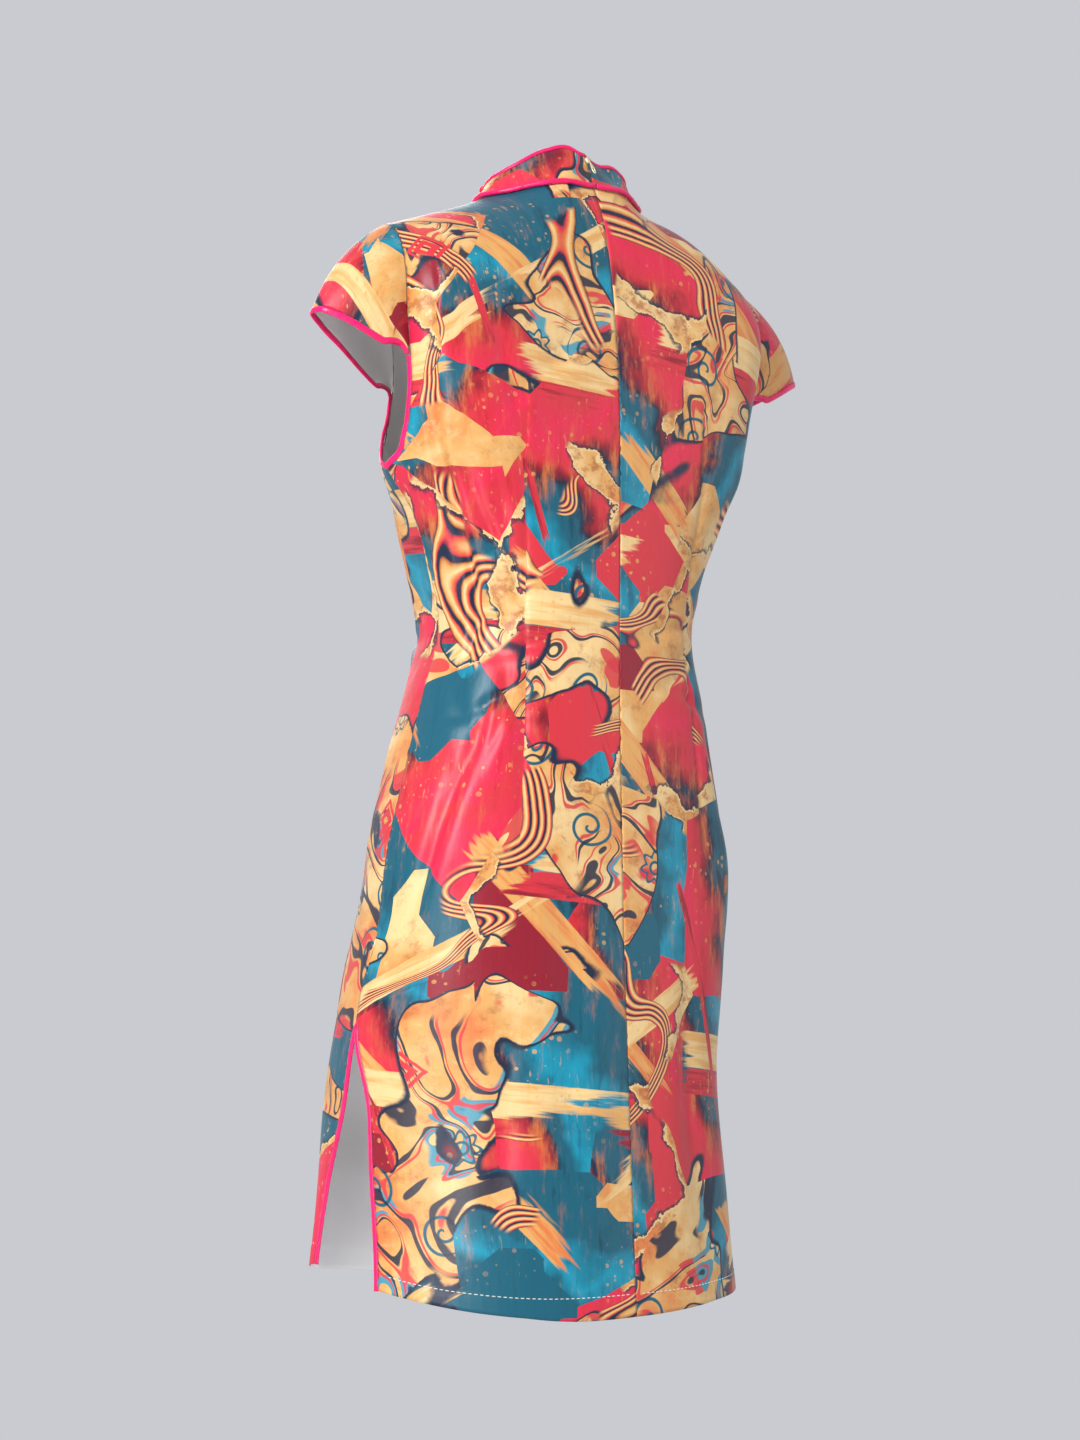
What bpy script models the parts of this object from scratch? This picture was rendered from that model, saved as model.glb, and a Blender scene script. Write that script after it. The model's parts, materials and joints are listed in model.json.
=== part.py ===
"""A knee-length satin cheongsam, standing open as it is worn, with its zip pull.

Metres, +Z up. The wearer faces -Y and the wearer's left is +X. The origin is the
middle of the neck opening, at the height of the collar seam. Every panel is a wall
of cloth cut from one smooth body surface, which is worked out from the short tables
below; seams are 0.3 mm gaps between neighbouring panels.
"""

import math
from functools import lru_cache

import bpy
import numpy as np

CLOTH = 0.0012          # wall of a panel
BINDING = 0.0024        # thickness of a bound edge
BINDING_WIDTH = 0.0050
SEAM_HALF = 0.00016     # each panel stops this far short of its seam

# Columns and rows shared by the panels, so that neighbours meet point for point.
COLUMNS = 14            # from the centre to the side, half of them before the dart
NECK_COLUMNS = 6
SLIT_ROW = 8            # last row of the slit edges, counted from the hem
UNDERARM_ROW = 24
SLEEVE_ROW = 30         # where the sleeve leaves the armhole edge
TOP_ROW = 38

# Level of the dress: half width, depth behind and in front of the side seams, and how
# square the section is behind and in front (0 is an ellipse, negative is pinched).
#          z      half    back    front   back_sq front_sq
LEVELS = (
    (-0.900, 0.1590, 0.1265, 0.0975, 0.03, 0.02),
    (-0.800, 0.1480, 0.1184, 0.0945, 0.03, 0.03),
    (-0.700, 0.1390, 0.1100, 0.0965, 0.03, 0.03),
    (-0.610, 0.1480, 0.1025, 0.1035, 0.04, 0.03),
    (-0.540, 0.1525, 0.0985, 0.0960, 0.04, 0.03),
    (-0.470, 0.1390, 0.0945, 0.1000, 0.04, 0.03),
    (-0.410, 0.1235, 0.0915, 0.0940, 0.04, 0.03),
    (-0.360, 0.1110, 0.0900, 0.0930, 0.04, 0.03),
    (-0.310, 0.1220, 0.0893, 0.0965, 0.04, 0.02),
    (-0.260, 0.1415, 0.0882, 0.0985, 0.05, 0.00),
    (-0.225, 0.1590, 0.0872, 0.1050, 0.06, -0.05),
    (-0.170, 0.1660, 0.0845, 0.0990, 0.08, -0.07),
    (-0.110, 0.1740, 0.0775, 0.0890, 0.10, -0.07),
    (-0.060, 0.1740, 0.0680, 0.0710, 0.09, -0.05),
    (-0.026, 0.1740, 0.0584, 0.0560, 0.07, -0.03),
    (0.002, 0.1740, 0.0453, 0.0420, 0.05, 0.0),
    (0.040, 0.1740, 0.0250, 0.0220, 0.0, 0.0),
)

UNDERARM = -0.240       # level where the armholes begin
SLIT_TOP = -0.668

# Height of the hem by angle: behind from right to left, in front from left to right.
HEM_BACK = ((-1.0, -0.867), (-0.5, -0.8795), (0.0, -0.888), (0.3, -0.8900),
            (0.6, -0.8850), (1.0, -0.871))
HEM_FRONT = ((1.0, -0.859), (1.5, -0.866), (2.0, -0.873), (2.5, -0.874), (3.0, -0.870))

# The shoulder seam runs along a ridge that the front and back roll over.
RIDGE_Z = 0.0152
RIDGE_Y = -0.0060
RIDGE_SLOPE = 0.36
RIDGE_RISE = 0.060
ROLL_BACK = 0.060
ROLL_FRONT = 0.085
SHOULDER_X = 0.165

NECK_A = 0.0727         # half width of the neck opening
NECK_BACK = 0.0513
NECK_FRONT = 0.0640
# Small corrections to the height of the back neck seam, by distance from the centre.
NECK_EVEN = (
    (0.000, 0.0), (0.019, -0.0030), (0.037, -0.0005), (0.053, 0.0020), (0.065, 0.0008),
    (0.073, 0.0),
)

# Darts of the back: half distance between them, by level.
#          z      x
BACK_DART = (
    (-0.900, 0.0900), (-0.515, 0.0884), (-0.471, 0.0851), (-0.357, 0.0792),
    (-0.296, 0.0818), (-0.245, 0.0876), (-0.166, 0.0977), (-0.100, 0.1000),
)
BACK_DART_ENDS = (-0.535, -0.166)
FRONT_DART_X = 0.082
FRONT_DART_ENDS = (-0.500, -0.290)

# Armhole edges as angle round the section (0 centre back, 1 side, 2 centre front).
#          z      angle
ARM_BACK = (
    (-0.240, 1.00), (-0.234, 0.93), (-0.215, 0.855), (-0.183, 0.805),
    (-0.154, 0.785), (-0.100, 0.755), (-0.065, 0.730), (-0.043, 0.700),
)
ARM_FRONT = (
    (-0.240, 1.00), (-0.235, 1.08), (-0.217, 1.20), (-0.175, 1.33),
    (-0.120, 1.345), (-0.075, 1.28), (-0.043, 1.16),
)
SLEEVE_BACK_Z = -0.154  # where the cap sleeve meets the armhole edge
SLEEVE_FRONT_Z = -0.172

# Hem of the left cap sleeve from its back end to its front end.
SLEEVE_HEM = (
    (0.1690, 0.0390, -0.1545), (0.1965, 0.0345, -0.1410), (0.2190, 0.0265, -0.1290),
    (0.2330, 0.0150, -0.1225), (0.2345, 0.0030, -0.1225), (0.2220, -0.0050, -0.1300),
    (0.1990, -0.0130, -0.1430), (0.1710, -0.0230, -0.1600), (0.1420, -0.0330, -0.1750),
)


# The collar by length along the neck seam from the centre back. The right half leans
# further in behind the neck.
#     length  height  lean of the left and of the right half
COLLAR = (
    (0.000, 0.0300, 0.42, 0.44), (0.020, 0.0350, 0.42, 0.64), (0.040, 0.0350, 0.42, 0.64),
    (0.056, 0.0335, 0.42, 0.48), (0.075, 0.0270, 0.42, 0.40), (0.095, 0.0190, 0.42, 0.42),
    (0.130, 0.0170, 0.42, 0.42), (0.200, 0.0180, 0.42, 0.42), (0.260, 0.0180, 0.42, 0.42),
)
PIPING = 0.0021         # radius of the covered cord
LIFT_FROM = 0.036       # the right shoulder starts to rise this far from the centre
KNOT = (0.0575, -0.0276, 0.0043)
KNOT_RADIUS = 0.0042

# The left thigh pushes the front panel forward, and the slit edge with it.
#          z      slit edge  thigh
PUSH = (
    (-0.900, 0.076, 0.062), (-0.860, 0.081, 0.045), (-0.800, 0.070, 0.049),
    (-0.740, 0.046, 0.056), (-0.680, 0.020, 0.029), (-0.620, 0.006, 0.019),
    (-0.560, 0.001, 0.003), (-0.500, 0.000, 0.000), (-0.440, 0.0, 0.0),
)

# How far the left hip carries the dress sideways.
#          z      out
SWAY = (
    (-0.900, 0.016), (-0.800, 0.021), (-0.740, 0.026), (-0.690, 0.031),
    (-0.650, 0.024), (-0.600, 0.011), (-0.550, 0.003), (-0.500, 0.0), (-0.440, 0.0),
)

# Soft folds: side (+1 left), angle and level of each end, half width, depth in metres.
FOLDS = (
    (+1, 0.66, -0.165, 0.74, -0.400, 0.010, -0.0050),
    (+1, 0.60, -0.200, 0.66, -0.330, 0.012, 0.0022),
    (+1, 0.30, -0.470, 0.72, -0.330, 0.011, -0.0020),
    (+1, 0.86, -0.260, 0.60, -0.370, 0.010, -0.0022),
    (+1, 0.93, -0.380, 0.55, -0.470, 0.011, -0.0022),
    (-1, 0.70, -0.165, 0.66, -0.330, 0.011, -0.0035),
    (-1, 0.25, -0.400, 0.60, -0.340, 0.010, -0.0018),
    (+1, 0.55, -0.640, 0.72, -0.860, 0.022, -0.0035),
    (-1, 0.30, -0.650, 0.35, -0.880, 0.024, -0.0035),
    (+1, 0.10, -0.600, 0.16, -0.880, 0.020, 0.0025),
    (+1, 1.62, -0.560, 1.70, -0.850, 0.026, -0.0060),
    (-1, 1.55, -0.560, 1.50, -0.850, 0.026, -0.0050),
    (-1, 1.30, -0.400, 1.75, -0.470, 0.013, -0.0025),
    (+1, 1.30, -0.400, 1.75, -0.460, 0.013, -0.0025),
    (+1, 1.28, -0.190, 1.50, -0.240, 0.012, -0.0025),
    (-1, 1.28, -0.190, 1.50, -0.240, 0.012, -0.0025),
)


def smooth(table, column, z):
    """One column of a table at level z, as a cubic with slopes from its neighbours."""
    rows = np.array(table, float)
    rows = rows[np.argsort(rows[:, 0], kind="stable")]
    xs = rows[:, 0]
    ys = rows[:, column]
    slopes = np.gradient(ys, xs)
    z = np.clip(np.asarray(z, float), xs[0], xs[-1])
    i = np.clip(np.searchsorted(xs, z) - 1, 0, len(xs) - 2)
    span = xs[i + 1] - xs[i]
    t = (z - xs[i]) / span
    return (
        (2 * t**3 - 3 * t**2 + 1) * ys[i]
        + (t**3 - 2 * t**2 + t) * span * slopes[i]
        + (3 * t**2 - 2 * t**3) * ys[i + 1]
        + (t**3 - t**2) * span * slopes[i + 1]
    )


def step(x, low, high):
    """0 below low, 1 above high, smooth between."""
    t = np.clip((np.asarray(x, float) - low) / (high - low), 0, 1)
    return t * t * (3 - 2 * t)


def window(z, low, high, soft):
    """1 between two levels, fading to 0 over soft outside them."""
    return step(z, low - soft, low) * (1 - step(z, high, high + soft))


def section(angle, z):
    """Plan point of the body surface; a negative angle is the wearer's right."""
    angle = np.asarray(angle, float)
    half = smooth(LEVELS, 1, z)
    turn = np.abs(angle) * math.pi / 2
    behind = np.abs(angle) <= 1
    depth = np.where(behind, smooth(LEVELS, 2, z), smooth(LEVELS, 3, z))
    square = np.where(behind, smooth(LEVELS, 4, z), smooth(LEVELS, 5, z))
    x = half * (np.sin(turn) + square * np.sin(3 * turn)) / (1 - square)
    y = depth * (np.cos(turn) - square * np.cos(3 * turn)) / (1 - square)
    return np.sign(angle) * x, y


def ridge(x):
    """Height of the shoulder line."""
    x = np.abs(x)
    return RIDGE_Z - RIDGE_SLOPE * x + RIDGE_RISE * np.exp(-((x / 0.042) ** 2))


def rolled(x, y, z):
    """Rolls the section in towards the shoulder line near the top."""
    reach = np.where(y > RIDGE_Y, ROLL_BACK, ROLL_FRONT)
    s = np.clip((ridge(x) - z) / reach, 0, 1)
    return RIDGE_Y + (y - RIDGE_Y) * np.sqrt(np.maximum(1 - (1 - s) ** 2, 0))


def shoulder_lift(x, z):
    """The right shoulder line is carried a little higher between neck and sleeve."""
    between = np.clip((-x - LIFT_FROM) / (SHOULDER_X - LIFT_FROM), 0, 1)
    return 0.011 * np.sin(math.pi * between) ** 2 * step(z - ridge(x), -0.085, -0.010)


def bust(x, z):
    """How far the front stands out over the bust."""
    bump = np.exp(-(((np.abs(x) - 0.080) / 0.042) ** 2) - ((z + 0.262) / 0.055) ** 2)
    return 0.010 * bump


def thigh(angle, z):
    """Forward push of the front panel, over the left thigh and towards the middle."""
    round_front = np.where(angle >= 0, angle, 4 + angle)
    edge = smooth(PUSH, 1, z)
    full = smooth(PUSH, 2, z)
    rise = step(round_front, 1.0, 1.42)
    fall = 1 - step(round_front, 1.45, 2.75)
    return edge * (1 - rise) * (round_front >= 1) + full * rise * fall


def hip_roll(angle, z):
    """Inward pinch along the right side seam, below the waist."""
    there = window(z, -0.600, -0.470, 0.070)
    seam = np.exp(-(((np.abs(angle) - 0.93) / np.where(np.abs(angle) < 0.93, 0.22, 0.07)) ** 2))
    return 0.011 * there * seam * (angle < 0)


def hip_full(angle, z):
    """The front stands out just ahead of the pinched seam."""
    there = window(z, -0.600, -0.470, 0.080)
    return 0.009 * there * np.exp(-(((np.abs(angle) - 1.06) / 0.16) ** 2)) * (angle < 0)


def folds(angle, z, x):
    """Height of all the soft folds at a point."""
    total = np.zeros_like(angle)
    around = 0.21
    for side, a0, z0, a1, z1, width, depth in FOLDS:
        du = (a1 - a0) * around
        dz = z1 - z0
        length = math.hypot(du, dz)
        pu = (angle * side - a0) * around
        pz = z - z0
        along = (pu * du + pz * dz) / length**2
        across = (pu * dz - pz * du) / length
        fade = step(along, -0.12, 0.25) * (1 - step(along, 0.75, 1.12))
        total += depth * fade * np.exp(-((across / width) ** 2)) * (angle * side > 0)
    return total


def arm_flare(angle, z):
    """The bound armhole stands off the body a little at the underarm."""
    return 0.009 * np.exp(
        -(((np.abs(angle) - 1) / 0.16) ** 2) - ((z - UNDERARM) / 0.020) ** 2
    )


def dart_pinch(angle, z, x):
    """A shallow valley down each dart."""
    back = np.abs(angle) <= 1
    middle = np.where(back, smooth(BACK_DART, 1, z), FRONT_DART_X)
    low = np.where(back, BACK_DART_ENDS[0], FRONT_DART_ENDS[0])
    high = np.where(back, BACK_DART_ENDS[1], FRONT_DART_ENDS[1])
    there = window(z, low + 0.02, high - 0.02, 0.02)
    return -0.0011 * there * np.exp(-(((np.abs(x) - middle) / 0.006) ** 2))


def surface(angle, z):
    """The outside of the dress at an angle round the body and a level."""
    angle = np.asarray(angle, float)
    z = np.asarray(z, float) + 0 * angle
    x, y = section(angle, z)
    front = np.abs(angle) > 1
    y = y - np.where(front, bust(x, z) * step(np.abs(angle), 1.0, 1.4), 0)
    push = thigh(angle, z)
    below = step(z, SLIT_TOP - 0.10, SLIT_TOP)
    back_push = 0.018 * below * window(z, SLIT_TOP, SLIT_TOP, 0.10)
    edge = step(angle, 0.55, 1.0) * (angle > 0) * (angle < 1)
    y = y - push - back_push * edge
    x = x + smooth(SWAY, 1, z) * step(angle, 0.30, 1.0) * (1 - step(angle, 1.2, 1.9))
    x = x - 0.16 * push * (angle > 0) * (1 - step(angle, 1.3, 1.7))
    y = rolled(x, y, z)
    out = hip_full(angle, z) - hip_roll(angle, z)
    out = out + folds(angle, z, x) + dart_pinch(angle, z, x) + arm_flare(angle, z)
    spread = np.hypot(x, y + 0.006)
    z = z + shoulder_lift(x, z)
    return np.stack([x + out * x / spread, y + out * (y + 0.006) / spread, z], -1)


def phi_at(x, z, behind):
    """Angle at which the section has this half width, behind or in front."""
    x = np.asarray(x, float) + 0 * np.asarray(z, float)
    low = np.zeros_like(x)
    high = np.ones_like(x)
    for _ in range(26):
        mid = (low + high) / 2
        wide = section(mid if behind else 2 - mid, z)[0] > x
        high = np.where(wide, mid, high)
        low = np.where(wide, low, mid)
    return mid if behind else 2 - mid


def level_at(x, y, behind):
    """Levels at which the surface passes over plan points near the neck."""
    high = ridge(x)
    low = np.minimum(high - ROLL_FRONT, -0.10)
    for _ in range(26):
        mid = (low + high) / 2
        here = rolled(x, section(phi_at(x, mid, behind), mid)[1], mid)
        inside = here < y if behind else here > y
        high = np.where(inside, mid, high)
        low = np.where(inside, low, mid)
    return mid


def hem_level(angle):
    """Height of the hem: lowest behind, lifted in front by the left thigh."""
    angle = np.asarray(angle, float)
    front = np.where(angle >= 0, angle, 4 + angle)
    return np.where(
        np.abs(angle) <= 1, smooth(HEM_BACK, 1, angle), smooth(HEM_FRONT, 1, front)
    )


def seam_side(z, side, behind):
    """Angle of a side seam; below the slits the back edges draw back."""
    room = BINDING_WIDTH / 0.17 * step(-z, -SLIT_TOP, -SLIT_TOP + 0.007)
    hip = 0.07 * window(z, -0.600, -0.470, 0.080) if side < 0 else 0
    if behind:
        return 1 - 0.10 * step(-z, 0.72, 0.90) - hip - room
    return 1 - hip + room


def neck_points(turn, behind):
    """Angles and levels of the neck seam; turn 0 is the centre, 1 the shoulder."""
    turn = np.asarray(turn, float)
    x = NECK_A * np.sin(turn * math.pi / 2)
    deep = NECK_BACK if behind else -NECK_FRONT
    y = RIDGE_Y + deep * np.cos(turn * math.pi / 2)
    z = level_at(x, y, behind) + (smooth(NECK_EVEN, 1, x) if behind else 0.0)
    z = np.where(turn > 0.995, ridge(x), z)
    return np.stack([phi_at(x, z, behind), z], -1)


def top_edge(behind):
    """Neck seam from the centre to the shoulder, then the shoulder seam outwards."""
    neck = neck_points(np.linspace(0, 1, NECK_COLUMNS + 1), behind)
    x = np.linspace(NECK_A, SHOULDER_X, COLUMNS - NECK_COLUMNS + 1)[1:]
    z = ridge(x)
    return np.concatenate([neck, np.stack([phi_at(x, z, behind), z], -1)])


def armhole(levels, behind):
    """Angles of the armhole edge at some levels."""
    return smooth(ARM_BACK if behind else ARM_FRONT, 1, levels)


def armhole_levels(behind):
    """Levels of the rows along the armhole edge, underarm to shoulder."""
    sleeve = SLEEVE_BACK_Z if behind else SLEEVE_FRONT_Z
    bound = np.linspace(0, 1, SLEEVE_ROW - UNDERARM_ROW + 1) ** 1.5
    sewn = 1 - (1 - np.linspace(0, 1, TOP_ROW - SLEEVE_ROW + 1)[1:]) ** 1.25
    top = float(ridge(SHOULDER_X))
    return np.concatenate([UNDERARM + (sleeve - UNDERARM) * bound, sleeve + (top - sleeve) * sewn])


def upper_block(bottom, top, behind):
    """Angles and levels of a panel between the underarm level and its top edge."""
    u = np.linspace(0, 1, COLUMNS + 1)[None, :]
    w = np.linspace(0, 1, TOP_ROW - UNDERARM_ROW + 1)[:, None]
    v = 1 - (1 - w) ** 1.45
    left_z = UNDERARM + (top[0, 1] - UNDERARM) * v
    left = np.stack([np.full_like(left_z, bottom[0]), left_z], -1)
    right_z = armhole_levels(behind)[:, None]
    right = np.stack([armhole(right_z, behind), right_z], -1)
    right[-1, 0, 0] = top[-1, 0]
    low = np.stack([bottom, np.full_like(bottom, UNDERARM)], -1)[None]
    high = top[None]
    u = u[..., None]
    v = v[..., None]
    corners = (
        (1 - u) * (1 - v) * low[:, :1] + u * (1 - v) * low[:, -1:]
        + (1 - u) * v * high[:, :1] + u * v * high[:, -1:]
    )
    return (1 - v) * low + v * high + (1 - u) * left + u * right - corners


def lower_levels(hem):
    """Levels of the rows from the hem to just below the underarm."""
    slit_end = SLIT_TOP - 0.0075
    rows = [hem + (slit_end - hem) * k / SLIT_ROW for k in range(SLIT_ROW + 1)]
    above = np.linspace(SLIT_TOP, UNDERARM, UNDERARM_ROW - SLIT_ROW)
    return rows + [hem * 0 + z for z in above[:-1]]


def back_angles(side):
    """Angles and levels over a back panel, hem to shoulder, centre to side."""
    u = np.linspace(0, 1, COLUMNS + 1)
    grid = []
    for z in lower_levels(hem_level(side * u)):
        middle = phi_at(smooth(BACK_DART, 1, z), z, True)
        edge = seam_side(z, side, True)
        angle = np.where(
            u <= 0.5, middle * u * 2, middle + (edge - middle) * (u * 2 - 1)
        )
        grid.append(np.stack([angle, z], -1))
    z = np.full(COLUMNS + 1, UNDERARM)
    middle = phi_at(smooth(BACK_DART, 1, z), z, True)
    bottom = np.where(u <= 0.5, middle * u * 2, middle + (1 - middle) * (u * 2 - 1))
    grid += list(upper_block(bottom, top_edge(True), True))
    return np.array(grid)


def front_angles():
    """Angles and levels over the front, hem to shoulder, left seam to right seam."""
    w = np.linspace(0, 1, COLUMNS + 1)
    u = w - 0.07 * np.sin(math.pi * w) * np.cos(math.pi * w * 0.5)
    halves = []
    for side in (1, -1):
        hem = hem_level(side * np.maximum(2 - u, 1.001))
        grid = []
        for z in lower_levels(hem):
            start = seam_side(z, side, False)
            grid.append(np.stack([2 - u * (2 - start), z], -1))
        grid += list(upper_block(2 - u, top_edge(False), False))
        halves.append(np.array(grid))
    left, right = halves
    left = left[:, ::-1]
    right = right[:, 1:].copy()
    right[..., 0] = -right[..., 0]
    return np.concatenate([left, right], axis=1)


def outward(points):
    """Unit normals of a grid of points."""
    along = np.gradient(points, axis=1, edge_order=2)
    up = np.gradient(points, axis=0, edge_order=2)
    normal = np.cross(up, along)
    return normal / np.linalg.norm(normal, axis=-1, keepdims=True)


def drawn_in(points, edges, by=SEAM_HALF):
    """Pulls the named edges of a grid inwards by a little, to leave a seam gap."""
    points = points.copy()
    pairs = {
        "first": ((slice(None), 0), (slice(None), 1)),
        "last": ((slice(None), -1), (slice(None), -2)),
        "bottom": ((0,), (1,)),
        "top": ((-1,), (-2,)),
    }
    for edge in edges:
        a, b = pairs[edge]
        way = points[b] - points[a]
        points[a] = points[a] + by * way / np.linalg.norm(way, axis=-1, keepdims=True)
    return points


def material(name, colour, rough=0.45):
    found = bpy.data.materials.get(name)
    if found:
        return found
    made = bpy.data.materials.new(name)
    made.use_nodes = True
    shader = made.node_tree.nodes["Principled BSDF"]
    shader.inputs["Base Color"].default_value = (*colour, 1)
    shader.inputs["Roughness"].default_value = rough
    return made


PRINT = ("printed_satin", (0.72, 0.28, 0.20), 0.42)
PINK = ("pink_satin", (0.80, 0.02, 0.16), 0.38)
METAL = ("zip_metal", (0.85, 0.78, 0.62), 0.35)


def volume(verts, faces):
    """Signed volume inside the faces: negative when they face inwards."""
    total = 0.0
    for face in faces:
        a = verts[face[0]]
        for b, c in zip(face[1:-1], face[2:]):
            total += np.dot(a, np.cross(verts[b], verts[c]))
    return total / 6


def add_mesh(name, verts, faces, look):
    verts = np.asarray(verts, float)
    if volume(verts, faces) < 0:
        faces = [tuple(reversed(face)) for face in faces]
    mesh = bpy.data.meshes.new(name)
    mesh.from_pydata([tuple(map(float, v)) for v in verts], [], faces)
    mesh.validate()
    mesh.update()
    thing = bpy.data.objects.new(name, mesh)
    bpy.context.scene.collection.objects.link(thing)
    thing.data.materials.append(material(*look))
    return thing


def split(quad, verts):
    """Two triangles of a four-sided face, cut along its shorter diagonal."""
    a, b, c, d = quad
    if np.linalg.norm(verts[a] - verts[c]) < np.linalg.norm(verts[b] - verts[d]):
        return (a, b, c), (a, c, d)
    return (a, b, d), (b, c, d)


def wall(name, outer, normals, look=PRINT, thick=CLOTH):
    """A closed wall of cloth on the inside of a grid of points."""
    rows, cols = outer.shape[:2]
    thick = np.broadcast_to(thick, (rows, cols))[..., None]
    inner = outer - normals * thick
    verts = np.concatenate([outer.reshape(-1, 3), inner.reshape(-1, 3)])
    base = rows * cols
    faces = []
    for i in range(rows - 1):
        for j in range(cols - 1):
            a = i * cols + j
            for half in split((a, a + 1, a + cols + 1, a + cols), verts):
                faces.append(half)
                faces.append(tuple(base + q for q in reversed(half)))
    rim = [j for j in range(cols)]
    rim += [i * cols + cols - 1 for i in range(1, rows)]
    rim += [(rows - 1) * cols + j for j in range(cols - 2, -1, -1)]
    rim += [i * cols for i in range(rows - 2, 0, -1)]
    for k, a in enumerate(rim):
        b = rim[(k + 1) % len(rim)]
        faces.append((b, a, base + a, base + b))
    return add_mesh(name, verts, faces, look)


def rod(name, rings, look):
    """A closed solid through rings of points, with flat ends."""
    rings = np.asarray(rings)
    count, around = rings.shape[:2]
    faces = [tuple(reversed(range(around)))]
    for i in range(count - 1):
        for j in range(around):
            a = i * around + j
            b = i * around + (j + 1) % around
            faces.append((a, b, b + around, a + around))
    faces.append(tuple((count - 1) * around + j for j in range(around)))
    return add_mesh(name, rings.reshape(-1, 3), faces, look)


def resample(points, at):
    """Points at some shares of the length of a polyline, rounded through a cubic."""
    points = np.asarray(points, float)
    length = np.concatenate([[0], np.cumsum(np.linalg.norm(np.diff(points, axis=0), axis=1))])
    table = np.column_stack([length, points])
    return np.column_stack([smooth(table, k, at * length[-1]) for k in (1, 2, 3)])


def unit(v):
    return v / np.linalg.norm(v, axis=-1, keepdims=True)


def bound_edge(name, edge, out, up, width=BINDING_WIDTH, thick=BINDING, look=PINK):
    """A bound edge: a soft-cornered strip beyond the edge of a panel.

    out points away from the panel within the cloth, up away from the body.
    """
    gap = SEAM_HALF
    mid = -CLOTH / 2
    outline = (
        (gap, mid + thick / 2), (gap + width * 0.6, mid + thick / 2),
        (gap + width, mid + thick * 0.18), (gap + width, mid - thick * 0.18),
        (gap + width * 0.6, mid - thick / 2), (gap, mid - thick / 2),
    )
    rings = np.stack([edge + out * a + up * b for a, b in outline], axis=1)
    return rod(name, rings, look)


def cord(name, path, radius, look=PINK, around=6):
    """A round cord along a path."""
    forward = unit(np.gradient(path, axis=0))
    side = unit(np.cross(forward, np.array([0.0, 0.0, 1.0])))
    up = np.cross(side, forward)
    turns = np.linspace(0, 2 * math.pi, around, endpoint=False)
    rings = np.stack(
        [path + radius * (math.cos(t) * side + math.sin(t) * up) for t in turns], axis=1
    )
    return rod(name, rings, look)


def clear():
    for thing in list(bpy.data.objects):
        bpy.data.objects.remove(thing, do_unlink=True)


def shoulder_up(normals, cols, side):
    """Gives the shoulder seam the same upward direction on both its panels."""
    way = np.array([side * RIDGE_SLOPE, 0.0, 1.0])
    normals[-1, cols] = way / np.linalg.norm(way)


@lru_cache
def back_panel(side):
    grid = back_angles(side)
    points = surface(side * grid[..., 0], grid[..., 1])
    normals = edge_frame(side * grid[..., 0], grid[..., 1])[1]
    shoulder_up(normals, slice(NECK_COLUMNS, None), side)
    return points, normals


def build_back(side, name):
    points, normals = back_panel(side)
    points = drawn_in(points, ("first", "last", "top"))
    return wall(name, points, normals)


@lru_cache
def front_panel():
    grid = front_angles()
    points = surface(grid[..., 0], grid[..., 1])
    normals = edge_frame(grid[..., 0], grid[..., 1])[1]
    reach = COLUMNS - NECK_COLUMNS + 1
    shoulder_up(normals, slice(0, reach), 1)
    shoulder_up(normals, slice(-reach, None), -1)
    return points, normals


def build_front():
    points, normals = front_panel()
    points = drawn_in(points, ("first", "last", "top"))
    return wall("front", points, normals)


def edge_frame(angle, z):
    """Points on the surface with the outward normal at each."""
    here = surface(angle, z)
    around = surface(angle + 0.006, z) - surface(angle - 0.006, z)
    up = surface(angle, z - 0.0005) - surface(angle, z - 0.0025)
    return here, unit(np.cross(up, around))


def beyond(path, away, inner):
    """Directions square to an edge within the cloth, leading off its far side."""
    out = unit(np.cross(away, unit(np.gradient(path, axis=0))))
    return out * np.sign(np.einsum("ij,ij->i", out, path - inner))[:, None]


def side_edge(side, behind):
    """The side edge of a panel, hem to shoulder: points, outward, and off the edge."""
    points, normals = back_panel(side) if behind else front_panel()
    edge, inner = (-1, -2) if behind or side < 0 else (0, 1)
    path = points[:, edge]
    away = normals[:, edge]
    return path, away, beyond(path, away, points[:, inner])


def cut_short(rows, end, share):
    """Rows of an edge with one more, part of the way to the row at end."""
    last = rows[end - 1] + (rows[end] - rows[end - 1]) * share
    return np.concatenate([rows[UNDERARM_ROW:end], last[None]])


def underarm_strip(side):
    """The armhole edge from the back end of the sleeve, under the arm, to the front."""
    back = [cut_short(part, SLEEVE_ROW, 0.7)[::-1] for part in side_edge(side, True)]
    front = [cut_short(part, SLEEVE_ROW, 0.7)[1:] for part in side_edge(side, False)]
    path, away, off = (np.concatenate(pair) for pair in zip(back, front))
    return path, beyond(path, away, path - off), away


def build_underarm(side, name):
    path, out, away = underarm_strip(side)
    return bound_edge(name, path, out, away)


def sleeve_seam(side):
    """The sleeve seam, from its back end over the shoulder to its front end."""
    back, back_out, _ = (part[SLEEVE_ROW:] for part in side_edge(side, True))
    front, front_out, _ = (part[SLEEVE_ROW:][::-1] for part in side_edge(side, False))
    return np.concatenate([back, front[1:]]), np.concatenate([back_out, front_out[1:]])


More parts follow.
